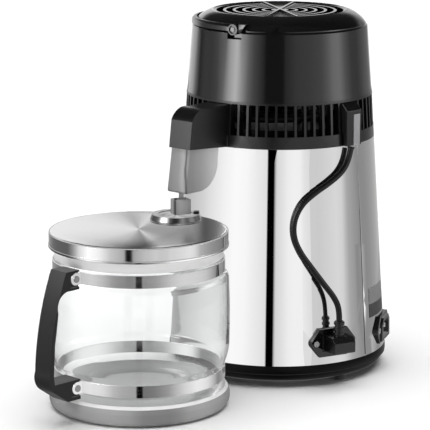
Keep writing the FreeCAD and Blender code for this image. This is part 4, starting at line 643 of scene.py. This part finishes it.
def outline(bm, corners, closed=True):
    """A chain of edges in the XZ plane; a corner is (radius, height) or has a rounding."""
    verts = [bm.verts.new((corner[0] * MM, 0.0, corner[1] * MM)) for corner in corners]
    edges = [bm.edges.new((verts[i], verts[i + 1])) for i in range(len(verts) - 1)]
    if closed:
        edges.append(bm.edges.new((verts[-1], verts[0])))
    for vert, corner in zip(verts, corners):
        if len(corner) > 2:
            steps = corner[3] if len(corner) > 3 else 4
            bmesh.ops.bevel(
                bm, geom=[vert], offset=corner[2] * MM, offset_type="OFFSET",
                segments=steps, profile=0.5, affect="VERTICES", material=-1)
    return bm


def lathe(corners, centre=(0.0, 0.0, 0.0), closed=True):
    """A full turn of an outline about an upright axis."""
    bm = bmesh.new()
    outline(bm, corners, closed)
    bmesh.ops.spin(
        bm, geom=bm.verts[:] + bm.edges[:], cent=(0.0, 0.0, 0.0), axis=(0.0, 0.0, 1.0),
        angle=2.0 * math.pi, steps=ROUND_STEPS, use_merge=True, use_duplicate=False)
    bmesh.ops.remove_doubles(bm, verts=bm.verts, dist=1e-6)
    bmesh.ops.translate(bm, verts=bm.verts, vec=centre)
    return bm


def prism(corners, half):
    """A flat outline, drawn in XZ and made thick along Y."""
    bm = outline(bmesh.new(), corners)
    face = bmesh.ops.contextual_create(bm, geom=bm.edges[:])["faces"]
    bmesh.ops.translate(bm, verts=bm.verts, vec=(0.0, -half * MM, 0.0))
    pulled = bmesh.ops.extrude_face_region(bm, geom=face)
    verts = [part for part in pulled["geom"] if isinstance(part, bmesh.types.BMVert)]
    bmesh.ops.translate(bm, verts=verts, vec=(0.0, 2.0 * half * MM, 0.0))
    bmesh.ops.recalc_face_normals(bm, faces=bm.faces)
    return bm


def round_edges(bm, width):
    """Rounds every edge that is sharper than 40 degrees."""
    sharp = [edge for edge in bm.edges
             if len(edge.link_faces) == 2 and edge.calc_face_angle() > math.radians(40.0)]
    bmesh.ops.bevel(
        bm, geom=sharp, offset=width * MM, offset_type="OFFSET", segments=3,
        profile=0.5, affect="EDGES", material=-1, clamp_overlap=True)


def turned(bm, degrees, centre=(0.0, 0.0, 0.0)):
    """Turns a bmesh about Z, then moves it."""
    bmesh.ops.rotate(bm, verts=bm.verts, cent=(0.0, 0.0, 0.0),
                     matrix=Matrix.Rotation(math.radians(degrees), 3, "Z"))
    bmesh.ops.translate(bm, verts=bm.verts, vec=centre)


def dressed(name, node, material, body, width=0.35, limit=38.0, mirrored=False):
    """A merged copy of a CAD solid with its edges softened."""
    bm = bmesh.new()
    bm.from_mesh(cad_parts[node].data)
    bmesh.ops.remove_doubles(bm, verts=bm.verts, dist=2e-6)
    bmesh.ops.dissolve_limit(
        bm, angle_limit=math.radians(1.0), use_dissolve_boundaries=False, verts=bm.verts,
        edges=bm.edges, delimit={"NORMAL"})
    piece = finish_mesh(bm, name, material, body, (node,), closed=False,
                        mirrored=mirrored)
    bevel = piece.modifiers.new("softened", "BEVEL")
    bevel.width = width * MM
    bevel.segments = 2
    bevel.limit_method = "ANGLE"
    bevel.angle_limit = math.radians(limit)
    bevel.harden_normals = True
    return piece


def second_material(piece, material, chosen):
    """Gives the chosen faces of a piece a material of their own."""
    piece.data.materials.append(material)
    for polygon in piece.data.polygons:
        if chosen(polygon):
            polygon.material_index = 1


def paint(node, material):
    """Gives a carried-over CAD solid its finish."""
    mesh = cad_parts[node].data
    mesh.materials.clear()
    mesh.materials.append(material)


def spot(degrees, radius, height):
    """A point in metres from its direction, distance and height in millimetres."""
    turn = math.radians(degrees)
    return Vector((radius * math.cos(turn) * MM, radius * math.sin(turn) * MM, height * MM))


class Piece:
    """What the operators have in common."""

    bl_options = {"REGISTER", "UNDO"}

    def execute(self, context):
        self.make()
        return {"FINISHED"}


# ---------------------------------------------------------------- the tank


class DISTILLER_OT_base(Piece, bpy.types.Operator):
    """Black base ring with its feet and plate"""

    bl_idname = "distiller.base"
    bl_label = "Base Ring"

    def make(self):
        s = sizes()
        brim = s.base_radius / MM
        top = s.base_height / MM
        ring = lathe((
            (80.0, 5.5), (103.0, 5.5, 2.0), (110.0, 9.0, 3.5, 6), (110.0, 14.0, 0.5),
            (112.9, 14.8, 0.5), (brim, 18.0, 2.0), (112.7, top, 0.5), (112.3, top, 0.1),
            (112.3, 19.5), (108.5, 19.5), (106.5, 14.0), (104.0, 9.5), (84.0, 9.5),
            (84.0, 6.7), (80.0, 6.7)))
        finish_mesh(ring, "base_moulding", moulding("black_base_moulding"), "tank",
                    ("base_ring",))
        for number in (1, 2, 3, 4):
            paint("rubber_foot_%d" % number, moulding("black_rubber"))
            paint("base_screw_%d" % number, sheet("plated_steel"))
        paint("base_plate", sheet("satin_steel"))


JOINT_HALF = 0.45 * MM
JOINT_PROUD = 0.08 * MM
JOINT_SUNK = 0.3 * MM
JOINT_FOOT_GAP = 5.0 * MM
JOINT_TOP_GAP = 4.0 * MM


class DISTILLER_OT_shell(Piece, bpy.types.Operator):
    """Polished steel shell with its joint, and the boiler pot inside"""

    bl_idname = "distiller.shell"
    bl_label = "Steel Shell"

    def make(self):
        dressed("steel_shell", "outer_shell", sheet("polished_steel"), "tank",
                0.05)
        # The joint's dark strip is partly painted shade of the groove.
        finish_mesh(self.joint_line(), "shell_joint", moulding("joint_shadow"), "tank")
        paint("boiler_pot", brushed_about("brushed_pot", (0.0, 0.0, 0.0), 0.3, 0.15))
        paint("heating_element", sheet("satin_steel"))
        paint("thermostat", moulding("satin_black_moulding"))

    def joint_line(self):
        """A dark strip down the lapped joint of the sheet: the joint's dark line, and
        painted shade of its groove.
        """
        s = sizes()
        bm = bmesh.new()
        ends = ((s.shell_foot, s.shell_low + JOINT_FOOT_GAP),
                (s.shell_neck, s.shell_top - JOINT_TOP_GAP))
        verts = [bm.verts.new((radius + out, aside, height))
                 for radius, height in ends
                 for out in (JOINT_PROUD, -JOINT_SUNK)
                 for aside in (-JOINT_HALF, JOINT_HALF)]
        for corners in ((0, 1, 5, 4), (2, 3, 7, 6), (0, 2, 6, 4), (1, 3, 7, 5),
                        (0, 1, 3, 2), (4, 5, 7, 6)):
            bm.faces.new([verts[index] for index in corners])
        turned(bm, math.degrees(s.seam_turn))
        return bm


class DISTILLER_OT_connectors(Piece, bpy.types.Operator):
    """Fan socket, mains inlet, their screws and pins, and the rating plate"""

    bl_idname = "distiller.connectors"
    bl_label = "Connectors"

    def make(self):
        gloss = moulding("gloss_black_moulding")
        dressed("socket_moulding", "fan_socket", gloss, "tank", 0.4,
                mirrored=True)
        dressed("inlet_moulding", "mains_inlet", gloss, "tank", 0.4)
        for pin in ("live", "neutral", "earth"):
            paint("inlet_pin_" + pin, sheet("plated_steel"))
        for number in (1, 2):
            for holder in ("socket", "inlet"):
                dressed("%s_screw_head_%d" % (holder, number),
                        "%s_screw_%d" % (holder, number), sheet("grey_screw"), "tank",
                        0.3)
        paint("rating_plate", rating_foil())


# ---------------------------------------------------------------- the head


class DISTILLER_OT_vent_ring(Piece, bpy.types.Operator):
    """Slatted ring between the tank and the cup"""

    bl_idname = "distiller.vent_ring"
    bl_label = "Vent Ring"

    def make(self):
        dressed("slatted_ring", "vent_ring", moulding("satin_black_moulding"), "head",
                0.4, mirrored=True)


class DISTILLER_OT_cooling(Piece, bpy.types.Operator):
    """Condenser lid, coil, fan and motor behind the slats, in near black: painted shade on
    the steel parts.
    """

    bl_idname = "distiller.cooling"
    bl_label = "Cooling Parts"

    def make(self):
        paint("lid_gasket", moulding("white_silicone"))
        # The steel lid, coil, shaft and nut are toned near black: painted shade behind the
        # slats.
        paint("condenser_lid", brushed_about(
            "painted_shade_lid", (0.0, 0.0, 0.0), 0.5, 0.2, 0.1, 0.02))
        paint("condenser_coil", brushed_about(
            "painted_shade_coil", (0.0, 0.0, 0.0), 0.5, 0.2, 0.1, 0.03))
        for node in ("motor_bracket", "fan_motor", "fan_shaft", "fan_nut"):
            paint(node, moulding("black_and_painted_shade_moulding"))
        dressed("fan_blades", "fan_rotor", moulding("black_and_painted_shade_moulding"), "fan",
                0.25, mirrored=True)


class DISTILLER_OT_cup(Piece, bpy.types.Operator):
    """Gloss black cup and domed top with its grille"""

    bl_idname = "distiller.cup"
    bl_label = "Head Cup and Dome"

    def make(self):
        dressed("gloss_cup", "head_cup", moulding("gloss_black_moulding"), "head",
                0.6, mirrored=True)
        dressed("grille_dome", "top_dome", moulding("gloss_black_moulding"), "head",
                0.5, mirrored=True)


BAIL_TURN = 188.0
LUG_CORNERS = ((6.6, 366.3), (16.0, 366.3), (9.0, 357.3), (6.6, 357.3))
LUG_HALF = 3.2
LUG_ROUNDING = 0.5
LUG_RADIUS = 86.6


class DISTILLER_OT_bail(Piece, bpy.types.Operator):
    """Carrying bail, its screws and the small lugs beside them"""

    bl_idname = "distiller.bail"
    bl_label = "Bail"

    def make(self):
        dressed("carrying_bail", "bail_handle", moulding("satin_black_moulding"), "bail",
                0.8, mirrored=True)
        for number in (1, 2):
            dressed("bail_screw_head_%d" % number, "bail_screw_%d" % number,
                    sheet("grey_screw"), "head", 0.4)
            turn = BAIL_TURN + 180.0 * (number - 1)
            lug = prism(LUG_CORNERS, LUG_HALF)
            round_edges(lug, LUG_ROUNDING)
            turned(lug, turn - 270.0, spot(turn, LUG_RADIUS, 0.0))
            finish_mesh(lug, "bail_stop_%d" % number, moulding("gloss_black_moulding"),
                        "head", mirrored=True)


class DISTILLER_OT_tower(Piece, bpy.types.Operator):
    """Tower that the fan lead leaves from"""

    bl_idname = "distiller.tower"
    bl_label = "Lead Tower"

    def make(self):
        dressed("tower_moulding", "lead_tower", moulding("satin_black_moulding"), "head",
                0.8, mirrored=True)
        paint("tower_plate", moulding("satin_foil"))
        dressed("lead_sleeve", "lead_gland", moulding("black_rubber"), "head",
                0.4)


class DISTILLER_OT_spout(Piece, bpy.types.Operator):
    """Spout cover, steel spout and filter cup"""

    bl_idname = "distiller.spout"
    bl_label = "Spout"

    def make(self):
        dressed("spout_hood", "spout_cover", moulding("satin_black_moulding"), "head",
                1.0, mirrored=True)
        dressed("spout_steel", "spout_body", spout_sheet(), "head", 0.5)
        dressed("filter_sieve", "filter_cup", moulding("smoky_plastic"), "head",
                0.2)


# ---------------------------------------------------------------- the fan lead


LEAD_ROUTE = (
    (264.1, 102.9, 240.6), (262.3, 103.5, 229.9), (257.3, 104.3, 218.3),
    (248.7, 105.0, 208.8), (239.3, 105.5, 199.5), (231.9, 106.5, 188.6),
    (227.7, 107.3, 172.7), (227.5, 108.9, 155.7), (231.1, 110.8, 140.1),
    (236.1, 113.7, 126.4), (242.3, 118.4, 108.5), (247.1, 122.2, 94.8),
    (249.3, 124.4, 82.6), (249.3, 124.4, 70.6),
)


def route_curve(name, points, radius=0.0):
    """An open NURBS line through the lead's route."""
    curve = bpy.data.curves.new(name, "CURVE")
    curve.dimensions = "3D"
    curve.resolution_u = 12
    spline = curve.splines.new("NURBS")
    spline.points.add(len(points) - 1)
    for point, place in zip(spline.points, points):
        point.co = (*place, 1.0)
    spline.order_u = 3
    spline.use_endpoint_u = True
    curve.bevel_depth = radius
    curve.bevel_resolution = 8
    curve.use_fill_caps = radius > 0.0
    return bpy.data.objects.new(name, curve)


def as_mesh(carrier, name):
    """The mesh of a curve; the curve is removed."""
    bpy.context.scene.collection.objects.link(carrier)
    bpy.context.view_layer.update()
    depsgraph = bpy.context.evaluated_depsgraph_get()
    mesh = bpy.data.meshes.new_from_object(carrier.evaluated_get(depsgraph))
    bpy.data.objects.remove(carrier)
    mesh.name = name
    return mesh


class DISTILLER_OT_lead(Piece, bpy.types.Operator):
    """Lead from the head to the fan socket, with its plug"""

    bl_idname = "distiller.lead"
    bl_label = "Fan Lead"

    def make(self):
        points = [spot(*place) for place in LEAD_ROUTE]
        line = as_mesh(route_curve("lead_line", points), "lead_line")
        bpy.data.meshes.remove(line)
        radius = sizes().lead_diameter / 2.0
        mesh = as_mesh(route_curve("fan_lead_sleeve", points, radius), "fan_lead_sleeve")
        smooth(mesh)
        lead = bpy.data.objects.new("fan_lead_sleeve", mesh)
        bpy.context.scene.collection.objects.link(lead)
        mesh.materials.clear()
        mesh.materials.append(moulding("black_rubber"))
        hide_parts("fan_lead")
        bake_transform(lead)
        plug = dressed("fan_plug", "fan_lead_plug", moulding("satin_black_moulding"), "tank",
                       0.5, mirrored=True)


# ---------------------------------------------------------------- the carafe


class DISTILLER_OT_glass(Piece, bpy.types.Operator):
    """Blown glass body of the carafe"""

    bl_idname = "distiller.glass"
    bl_label = "Carafe Glass"

    def make(self):
        body = lathe((
            (0.0, 3.0), (87.2, 3.0, 8.0, 8), (87.4, 12.5, 3.0, 4), (83.6, 24.0, 4.0, 4),
            (83.6, 43.2, 5.0, 5), (88.5, 55.0, 9.0, 8), (89.3, 95.0, 16.0, 5),
            (88.2, 131.0, 2.5, 5), (83.6, 136.0, 2.0, 4), (83.6, 148.9, 0.4, 2),
            (82.0, 150.0, 0.6, 3), (82.0, 172.0, 1.2, 5), (79.4, 172.0, 1.2, 5),
            (79.4, 148.7, 0.6, 3), (81.0, 147.6, 0.6, 3), (81.0, 136.0, 2.0, 4),
            (85.6, 131.0, 2.5, 5), (86.7, 95.0, 16.0, 5), (85.9, 55.0, 9.0, 8),
            (81.0, 43.2, 5.0, 5), (81.0, 24.0, 4.0, 4), (80.0, 9.0, 6.0, 8), (0.0, 9.0)),
            CARAFE, closed=False)
        finish_mesh(body, "carafe_body_glass", clear_glass(), "carafe",
                    ("carafe_glass",))


class DISTILLER_OT_carafe_metal(Piece, bpy.types.Operator):
    """Steel base, bands and bolts of the carafe"""

    bl_idname = "distiller.carafe_metal"
    bl_label = "Carafe Base and Bands"

    def make(self):
        # The base carries painted reflection in sectors round the carafe's axis.
        satin = satin_base("satin_carafe_base", CARAFE, BASE_PAINTED_REFLECTION)
        foot = lathe((
            (0.0, 0.0), (85.6, 0.0, 6.0, 7), (89.3, 7.0, 6.0, 6), (89.3, 15.0, 5.0, 6),
            (85.5, 21.0, 0.3, 2), (84.7, 21.0, 0.3, 2), (88.4, 15.0, 4.6, 6),
            (88.4, 7.4, 5.4, 6), (85.0, 0.8, 5.4, 7), (0.0, 0.8)), CARAFE, closed=False)
        foot = finish_mesh(foot, "carafe_foot", satin, "carafe",
                           ("carafe_base",))
        # The foot's upward and inward faces get white silicone: painted light on the
        # carafe's inner floor, which takes little light under the lid.
        second_material(foot, moulding("white_silicone"), lambda face: (
            face.normal.z > 0.5 or face.normal.xy.dot((face.center - CARAFE).xy) < 0.0))
        straps = {
            "upper": brushed_about("brushed_band", CARAFE, 0.07, 0.03, 0.1, 0.6),
            # The lower band carries painted reflection in sectors round the carafe's axis.
            "lower": steel_with_painted_reflection("lower_strap", CARAFE, LOWER_PAINTED_REFLECTION, 0.07)}
        for label, band in straps.items():
            dressed(label + "_strap", label + "_band", band, "carafe", 0.2)
            dressed(label + "_bolt_head", label + "_bolt", sheet("dull_steel"), "carafe",
                    0.5)


class DISTILLER_OT_carafe_handle(Piece, bpy.types.Operator):
    """Black grip of the carafe"""

    bl_idname = "distiller.carafe_handle"
    bl_label = "Carafe Handle"

    def make(self):
        dressed("carafe_grip", "carafe_handle", moulding("grained_black_grip"), "carafe",
                1.4)


class DISTILLER_OT_carafe_lid(Piece, bpy.types.Operator):
    """Brushed lid of the carafe, its seal and the drip cap"""

    bl_idname = "distiller.carafe_lid"
    bl_label = "Carafe Lid and Drip Cap"

    def make(self):
        # The rim and the brushed top carry painted reflection in sectors round the carafe's
        # axis.
        rim = steel_with_painted_reflection("polished_rim", CARAFE, RIM_PAINTED_REFLECTION, 0.1)
        sunburst = steel_with_painted_reflection("sunburst_steel", CARAFE, SUNBURST_PAINTED_REFLECTION, 0.2, 0.06)
        dressed("sunburst_cover", "carafe_lid", sunburst, "lid", 0.1)
        around = sizes().lid_radius / MM
        skirt = lathe((
            (around - 1.6, 175.6), (around + 0.1, 175.6, 1.0, 6), (around + 0.1, 163.2, 0.3),
            (around + 0.7, 163.2, 0.5, 4), (around + 0.7, 161.0, 0.5, 4),
            (around - 0.5, 161.0), (around - 0.5, 174.6), (around - 1.6, 175.2)), CARAFE)
        skirt = finish_mesh(skirt, "lid_skirt", rim, "lid")
        # The skirt's upward faces get a dull grey: painted shade in place of the steel's
        # highlight along its top edge.
        second_material(skirt, sheet("lid_edge_painted_shade"), lambda face: face.normal.z > 0.25)
        liner = lathe((
            (82.4, 150.6), (82.9, 150.6), (82.9, 171.6), (82.4, 171.6)), CARAFE)
        finish_mesh(liner, "neck_liner", moulding("white_silicone"), "carafe")
        dressed("white_seal", "lid_seal", moulding("white_silicone"), "lid", 0.2)
        # The cap ring carries painted reflection in sectors round its centre.
        cap = steel_with_painted_reflection("turned_cap", CAP, CAP_PAINTED_REFLECTION, 0.2)
        dressed("cap_turning", "cap_ring", cap, "cap", 0.25)
        dressed("chute_moulding", "drip_chute", clear_chute(), "cap", 0.3)
        dressed("cap_lug", "cap_knob", moulding("satin_black_moulding"), "cap",
                1.3)


# ---------------------------------------------------------------- studio


CAMERA_PLACE = Vector((-1.7916, -1.4769, 0.644))
VIEW_TURN = math.radians(-50.5)
CAMERA_YAW = -0.0286
CAMERA_PITCH = math.radians(11.87)
CAMERA_ROLL = 0.0009
FOCAL_PIXELS = 2267.7
IMAGE_PIXELS = 430.0
SENSOR = 36.0

# Brightness of the soft light by bearing, in degrees from the camera's side of the
# object: what the steel shell sees, what the carafe sees, and what the black head sees.
SHELL_LIGHT = (
    (-180, 0.7), (-130, 0.55), (-100, 0.72), (-85, 0.85), (-67, 0.99), (-51, 1.08),
    (-37, 1.05), (-30, 0.98), (-23, 0.92), (-14, 0.84), (-12.8, 0.0), (-5.0, 0.0),
    (-3.8, 0.74), (5, 0.86), (11, 0.96), (18, 0.99), (25, 0.98), (32, 0.82), (39, 0.68),
    (47, 0.66), (54, 0.70), (70, 0.77), (78, 0.72), (87, 0.43), (97, 0.35), (108, 0.28),
    (120, 0.29), (136, 0.35), (160, 0.5), (180, 0.7),
)
CARAFE_LIGHT = (
    (-180, 0.5), (-140, 0.35), (-120, 0.2), (-94, 0.2), (-86, 0.5), (-75, 0.95),
    (-64, 1.05), (-56, 1.0), (-47, 0.85), (-39, 0.68), (-31, 0.50), (-23, 0.42),
    (-8, 0.38), (-1.4, 0.38), (-1.0, 0.0), (7.2, 0.0), (7.6, 0.40), (15, 0.42),
    (23, 0.48), (31, 0.60), (39, 0.75), (47, 0.90), (56, 1.02), (66, 1.08), (84, 1.05),
    (94, 1.0), (106, 0.88), (120, 0.58), (134, 0.25), (160, 0.4), (180, 0.5),
)
HEAD_LIGHT = (
    (-180, 1.0), (-145, 1.4), (-131, 1.7), (-113, 0.15), (-101, 0.5), (-89, 0.6),
    (-78, 1.0), (-69, 2.5), (-61, 6.9), (-52, 10.5), (-44, 5.8), (-37, 2.6), (-30, 1.25),
    (-22.5, 0.67), (-17.2, 0.3), (-16.0, 0.1), (5.0, 0.1), (6.4, 0.4), (13, 0.57),
    (20, 0.8), (34, 0.92), (50, 1.2), (58, 1.85), (66, 2.9), (75, 3.0), (85, 1.4),
    (96, 0.56), (108, 0.4), (124, 0.5), (148, 0.4), (160, 0.8), (180, 1.0),
)
LIGHT_SCALE = 12.0
# The carafe's light changes to the shell's over these elevations, and the light fades to
# a share of itself over the higher ones.
SPLIT_FROM, SPLIT_TO = -11.9, -11.5
FADE_FROM, FADE_TO = 14.0, 24.0
OVERHEAD_SHARE = 0.1
HEAD_SKY = ((600.0, 233.5), (600.0, 550.0))
SUN_STRENGTH = 3.3
SUN_SPREAD = math.radians(70.0)
FLOOR_HALF = 8.0
FLOOR_TONE = 0.92


def bearing_share(tree, vector):
    """0 to 1 for a bearing of -180 to 180 degrees from the camera's side, and the height."""
    apart = seen_from_camera(tree, vector)
    back = math_node(tree, "MULTIPLY", apart["Y"], -1.0)
    bearing = math_node(tree, "ARCTAN2", apart["X"], back)
    return math_node(tree, "MULTIPLY_ADD", bearing, 0.5 / math.pi, 0.5), apart["Z"]


def light_ramp(tree, share, stops):
    return grey_ramp(tree, share, round_stops(stops, LIGHT_SCALE))


def between_elevations(tree, height, start, end):
    """0 to 1 as a direction's height runs between two elevations in degrees."""
    return map_range(tree, height, math.sin(math.radians(start)),
                     math.sin(math.radians(end)))


def studio_world():
    """Plain white to the camera and through glass; bearing-lit for every other ray."""
    world = bpy.data.worlds.new("studio")
    world.use_nodes = True
    tree = world.node_tree
    tree.nodes.clear()
    place = tree.nodes.new("ShaderNodeTexCoord")
    share, height = bearing_share(tree, place.outputs["Generated"])
    light = mixed_colours(
        tree, between_elevations(tree, height, SPLIT_FROM, SPLIT_TO),
        light_ramp(tree, share, CARAFE_LIGHT), light_ramp(tree, share, SHELL_LIGHT))
    raised = between_elevations(tree, height, FADE_FROM, FADE_TO)
    faded = tree.nodes.new("ShaderNodeVectorMath")
    faded.operation = "SCALE"
    link(tree, light, faded.inputs["Vector"])
    link(tree, math_node(tree, "MULTIPLY_ADD", raised, OVERHEAD_SHARE - 1.0, 1.0),
         faded.inputs["Scale"])
    lit = tree.nodes.new("ShaderNodeBackground")
    lit.inputs["Strength"].default_value = LIGHT_SCALE
    link(tree, faded.outputs["Vector"], lit.inputs["Color"])
    plain = tree.nodes.new("ShaderNodeBackground")
    plain.inputs["Color"].default_value = (1.0, 1.0, 1.0, 1.0)
    ray = tree.nodes.new("ShaderNodeLightPath")
    seen = math_node(
        tree, "MAXIMUM", ray.outputs["Is Camera Ray"], ray.outputs["Is Transmission Ray"])
    mix = tree.nodes.new("ShaderNodeMixShader")
    link(tree, seen, mix.inputs["Fac"])
    link(tree, lit.outputs["Background"], mix.inputs[1])
    link(tree, plain.outputs["Background"], mix.inputs[2])
    out = tree.nodes.new("ShaderNodeOutputWorld")
    link(tree, mix.outputs["Shader"], out.inputs["Surface"])
    bpy.context.scene.world = world


def stage_piece(name, bm, material):
    """Turns a bmesh into a piece of the studio."""
    mesh = bpy.data.meshes.new(name)
    bm.to_mesh(mesh)
    bm.free()
    mesh.materials.append(material)
    piece = bpy.data.objects.new(name, mesh)
    bpy.context.scene.collection.objects.link(piece)
    return piece


def head_sky():
    """A wide soft screen round the head, seen only in reflections."""
    material = bpy.data.materials.new("head_screen")
    material.use_nodes = True
    tree = material.node_tree
    tree.nodes.clear()
    share, _height = bearing_share(tree, object_place(tree))
    glow = tree.nodes.new("ShaderNodeEmission")
    glow.inputs["Strength"].default_value = LIGHT_SCALE
    out = tree.nodes.new("ShaderNodeOutputMaterial")
    link(tree, light_ramp(tree, share, HEAD_LIGHT), glow.inputs["Color"])
    link(tree, glow.outputs["Emission"], out.inputs["Surface"])
    screen = stage_piece("head_screen", lathe(HEAD_SKY, closed=False), material)
    screen.visible_camera = False
    screen.visible_diffuse = False
    screen.visible_transmission = False
    screen.visible_shadow = False


class DISTILLER_OT_stage(Piece, bpy.types.Operator):
    """Floor, soft light, the head's screen and the camera"""

    bl_idname = "distiller.stage"
    bl_label = "Stage"

    def make(self):
        self.floor()
        head_sky()
        studio_world()
        self.overhead_light()
        self.camera()
        bpy.context.scene.view_settings.view_transform = "Standard"

    def floor(self):
        material, _tree, shader = principled("pale_floor")
        shader.inputs["Base Color"].default_value = toned(FLOOR_TONE)
        shader.inputs["Roughness"].default_value = 0.9
        shader.inputs["Specular IOR Level"].default_value = 0.0
        bm = bmesh.new()
        bm.faces.new([bm.verts.new((x * FLOOR_HALF, y * FLOOR_HALF, 0.0))
                      for x, y in ((-1, -1), (1, -1), (1, 1), (-1, 1))])
        floor = stage_piece("floor", bm, material)
        floor.visible_glossy = False

    def overhead_light(self):
        data = bpy.data.lights.new("overhead_light", "SUN")
        data.energy = SUN_STRENGTH
        data.angle = SUN_SPREAD
        light = bpy.data.objects.new("overhead_light", data)
        light.location = (0.0, 0.0, 3.0)
        light.visible_glossy = False
        bpy.context.scene.collection.objects.link(light)

    def camera(self):
        data = bpy.data.cameras.new("camera")
        data.sensor_width = SENSOR
        data.lens = FOCAL_PIXELS / IMAGE_PIXELS * SENSOR
        ahead = Vector((
            math.sin(CAMERA_YAW) * math.cos(CAMERA_PITCH),
            math.cos(CAMERA_YAW) * math.cos(CAMERA_PITCH), -math.sin(CAMERA_PITCH)))
        ahead.rotate(Matrix.Rotation(VIEW_TURN, 3, "Z"))
        camera = bpy.data.objects.new("camera", data)
        camera.location = CAMERA_PLACE
        camera.rotation_mode = "QUATERNION"
        tilt = Matrix.Rotation(CAMERA_ROLL, 3, "Z").to_quaternion()
        camera.rotation_quaternion = ahead.to_track_quat("-Z", "Y") @ tilt
        bpy.context.scene.collection.objects.link(camera)
        bpy.context.scene.camera = camera


# ---------------------------------------------------------------- panel and registration


OPERATORS = (
    DISTILLER_OT_base, DISTILLER_OT_shell, DISTILLER_OT_connectors, DISTILLER_OT_vent_ring,
    DISTILLER_OT_cooling, DISTILLER_OT_cup, DISTILLER_OT_bail, DISTILLER_OT_tower,
    DISTILLER_OT_spout, DISTILLER_OT_lead, DISTILLER_OT_glass, DISTILLER_OT_carafe_metal,
    DISTILLER_OT_carafe_handle, DISTILLER_OT_carafe_lid, DISTILLER_OT_stage,
)


class DISTILLER_PT_sidebar(bpy.types.Panel):
    """Lists the sizes, the finishes and the pieces"""

    bl_idname = "DISTILLER_PT_sidebar"
    bl_label = "Water Distiller"
    bl_space_type = "VIEW_3D"
    bl_region_type = "UI"
    bl_category = "Distiller"

    def draw(self, context):
        layout = self.layout
        for group in (context.scene.distiller_sizes, context.scene.distiller_finishes):
            column = layout.column(align=True)
            for name in group.bl_rna.properties.keys():
                if name not in ("rna_type", "name"):
                    column.prop(group, name)
        for operator in OPERATORS:
            layout.operator(operator.bl_idname)


CLASSES = (DistillerSizes, DistillerFinishes, *OPERATORS, DISTILLER_PT_sidebar)


def register():
    for cls in CLASSES:
        bpy.utils.register_class(cls)
    bpy.types.Scene.distiller_sizes = PointerProperty(type=DistillerSizes)
    bpy.types.Scene.distiller_finishes = PointerProperty(type=DistillerFinishes)


def unregister():
    del bpy.types.Scene.distiller_finishes
    del bpy.types.Scene.distiller_sizes
    for cls in reversed(CLASSES):
        bpy.utils.unregister_class(cls)


def main():
    register()
    bpy.ops.distiller.stage()
    bpy.ops.distiller.lead()
    bpy.ops.distiller.base()
    bpy.ops.distiller.shell()
    bpy.ops.distiller.connectors()
    bpy.ops.distiller.vent_ring()
    bpy.ops.distiller.cooling()
    bpy.ops.distiller.cup()
    bpy.ops.distiller.bail()
    bpy.ops.distiller.tower()
    bpy.ops.distiller.spout()
    bpy.ops.distiller.glass()
    bpy.ops.distiller.carafe_metal()
    bpy.ops.distiller.carafe_handle()
    bpy.ops.distiller.carafe_lid()


if __name__ == "__main__":
    main()
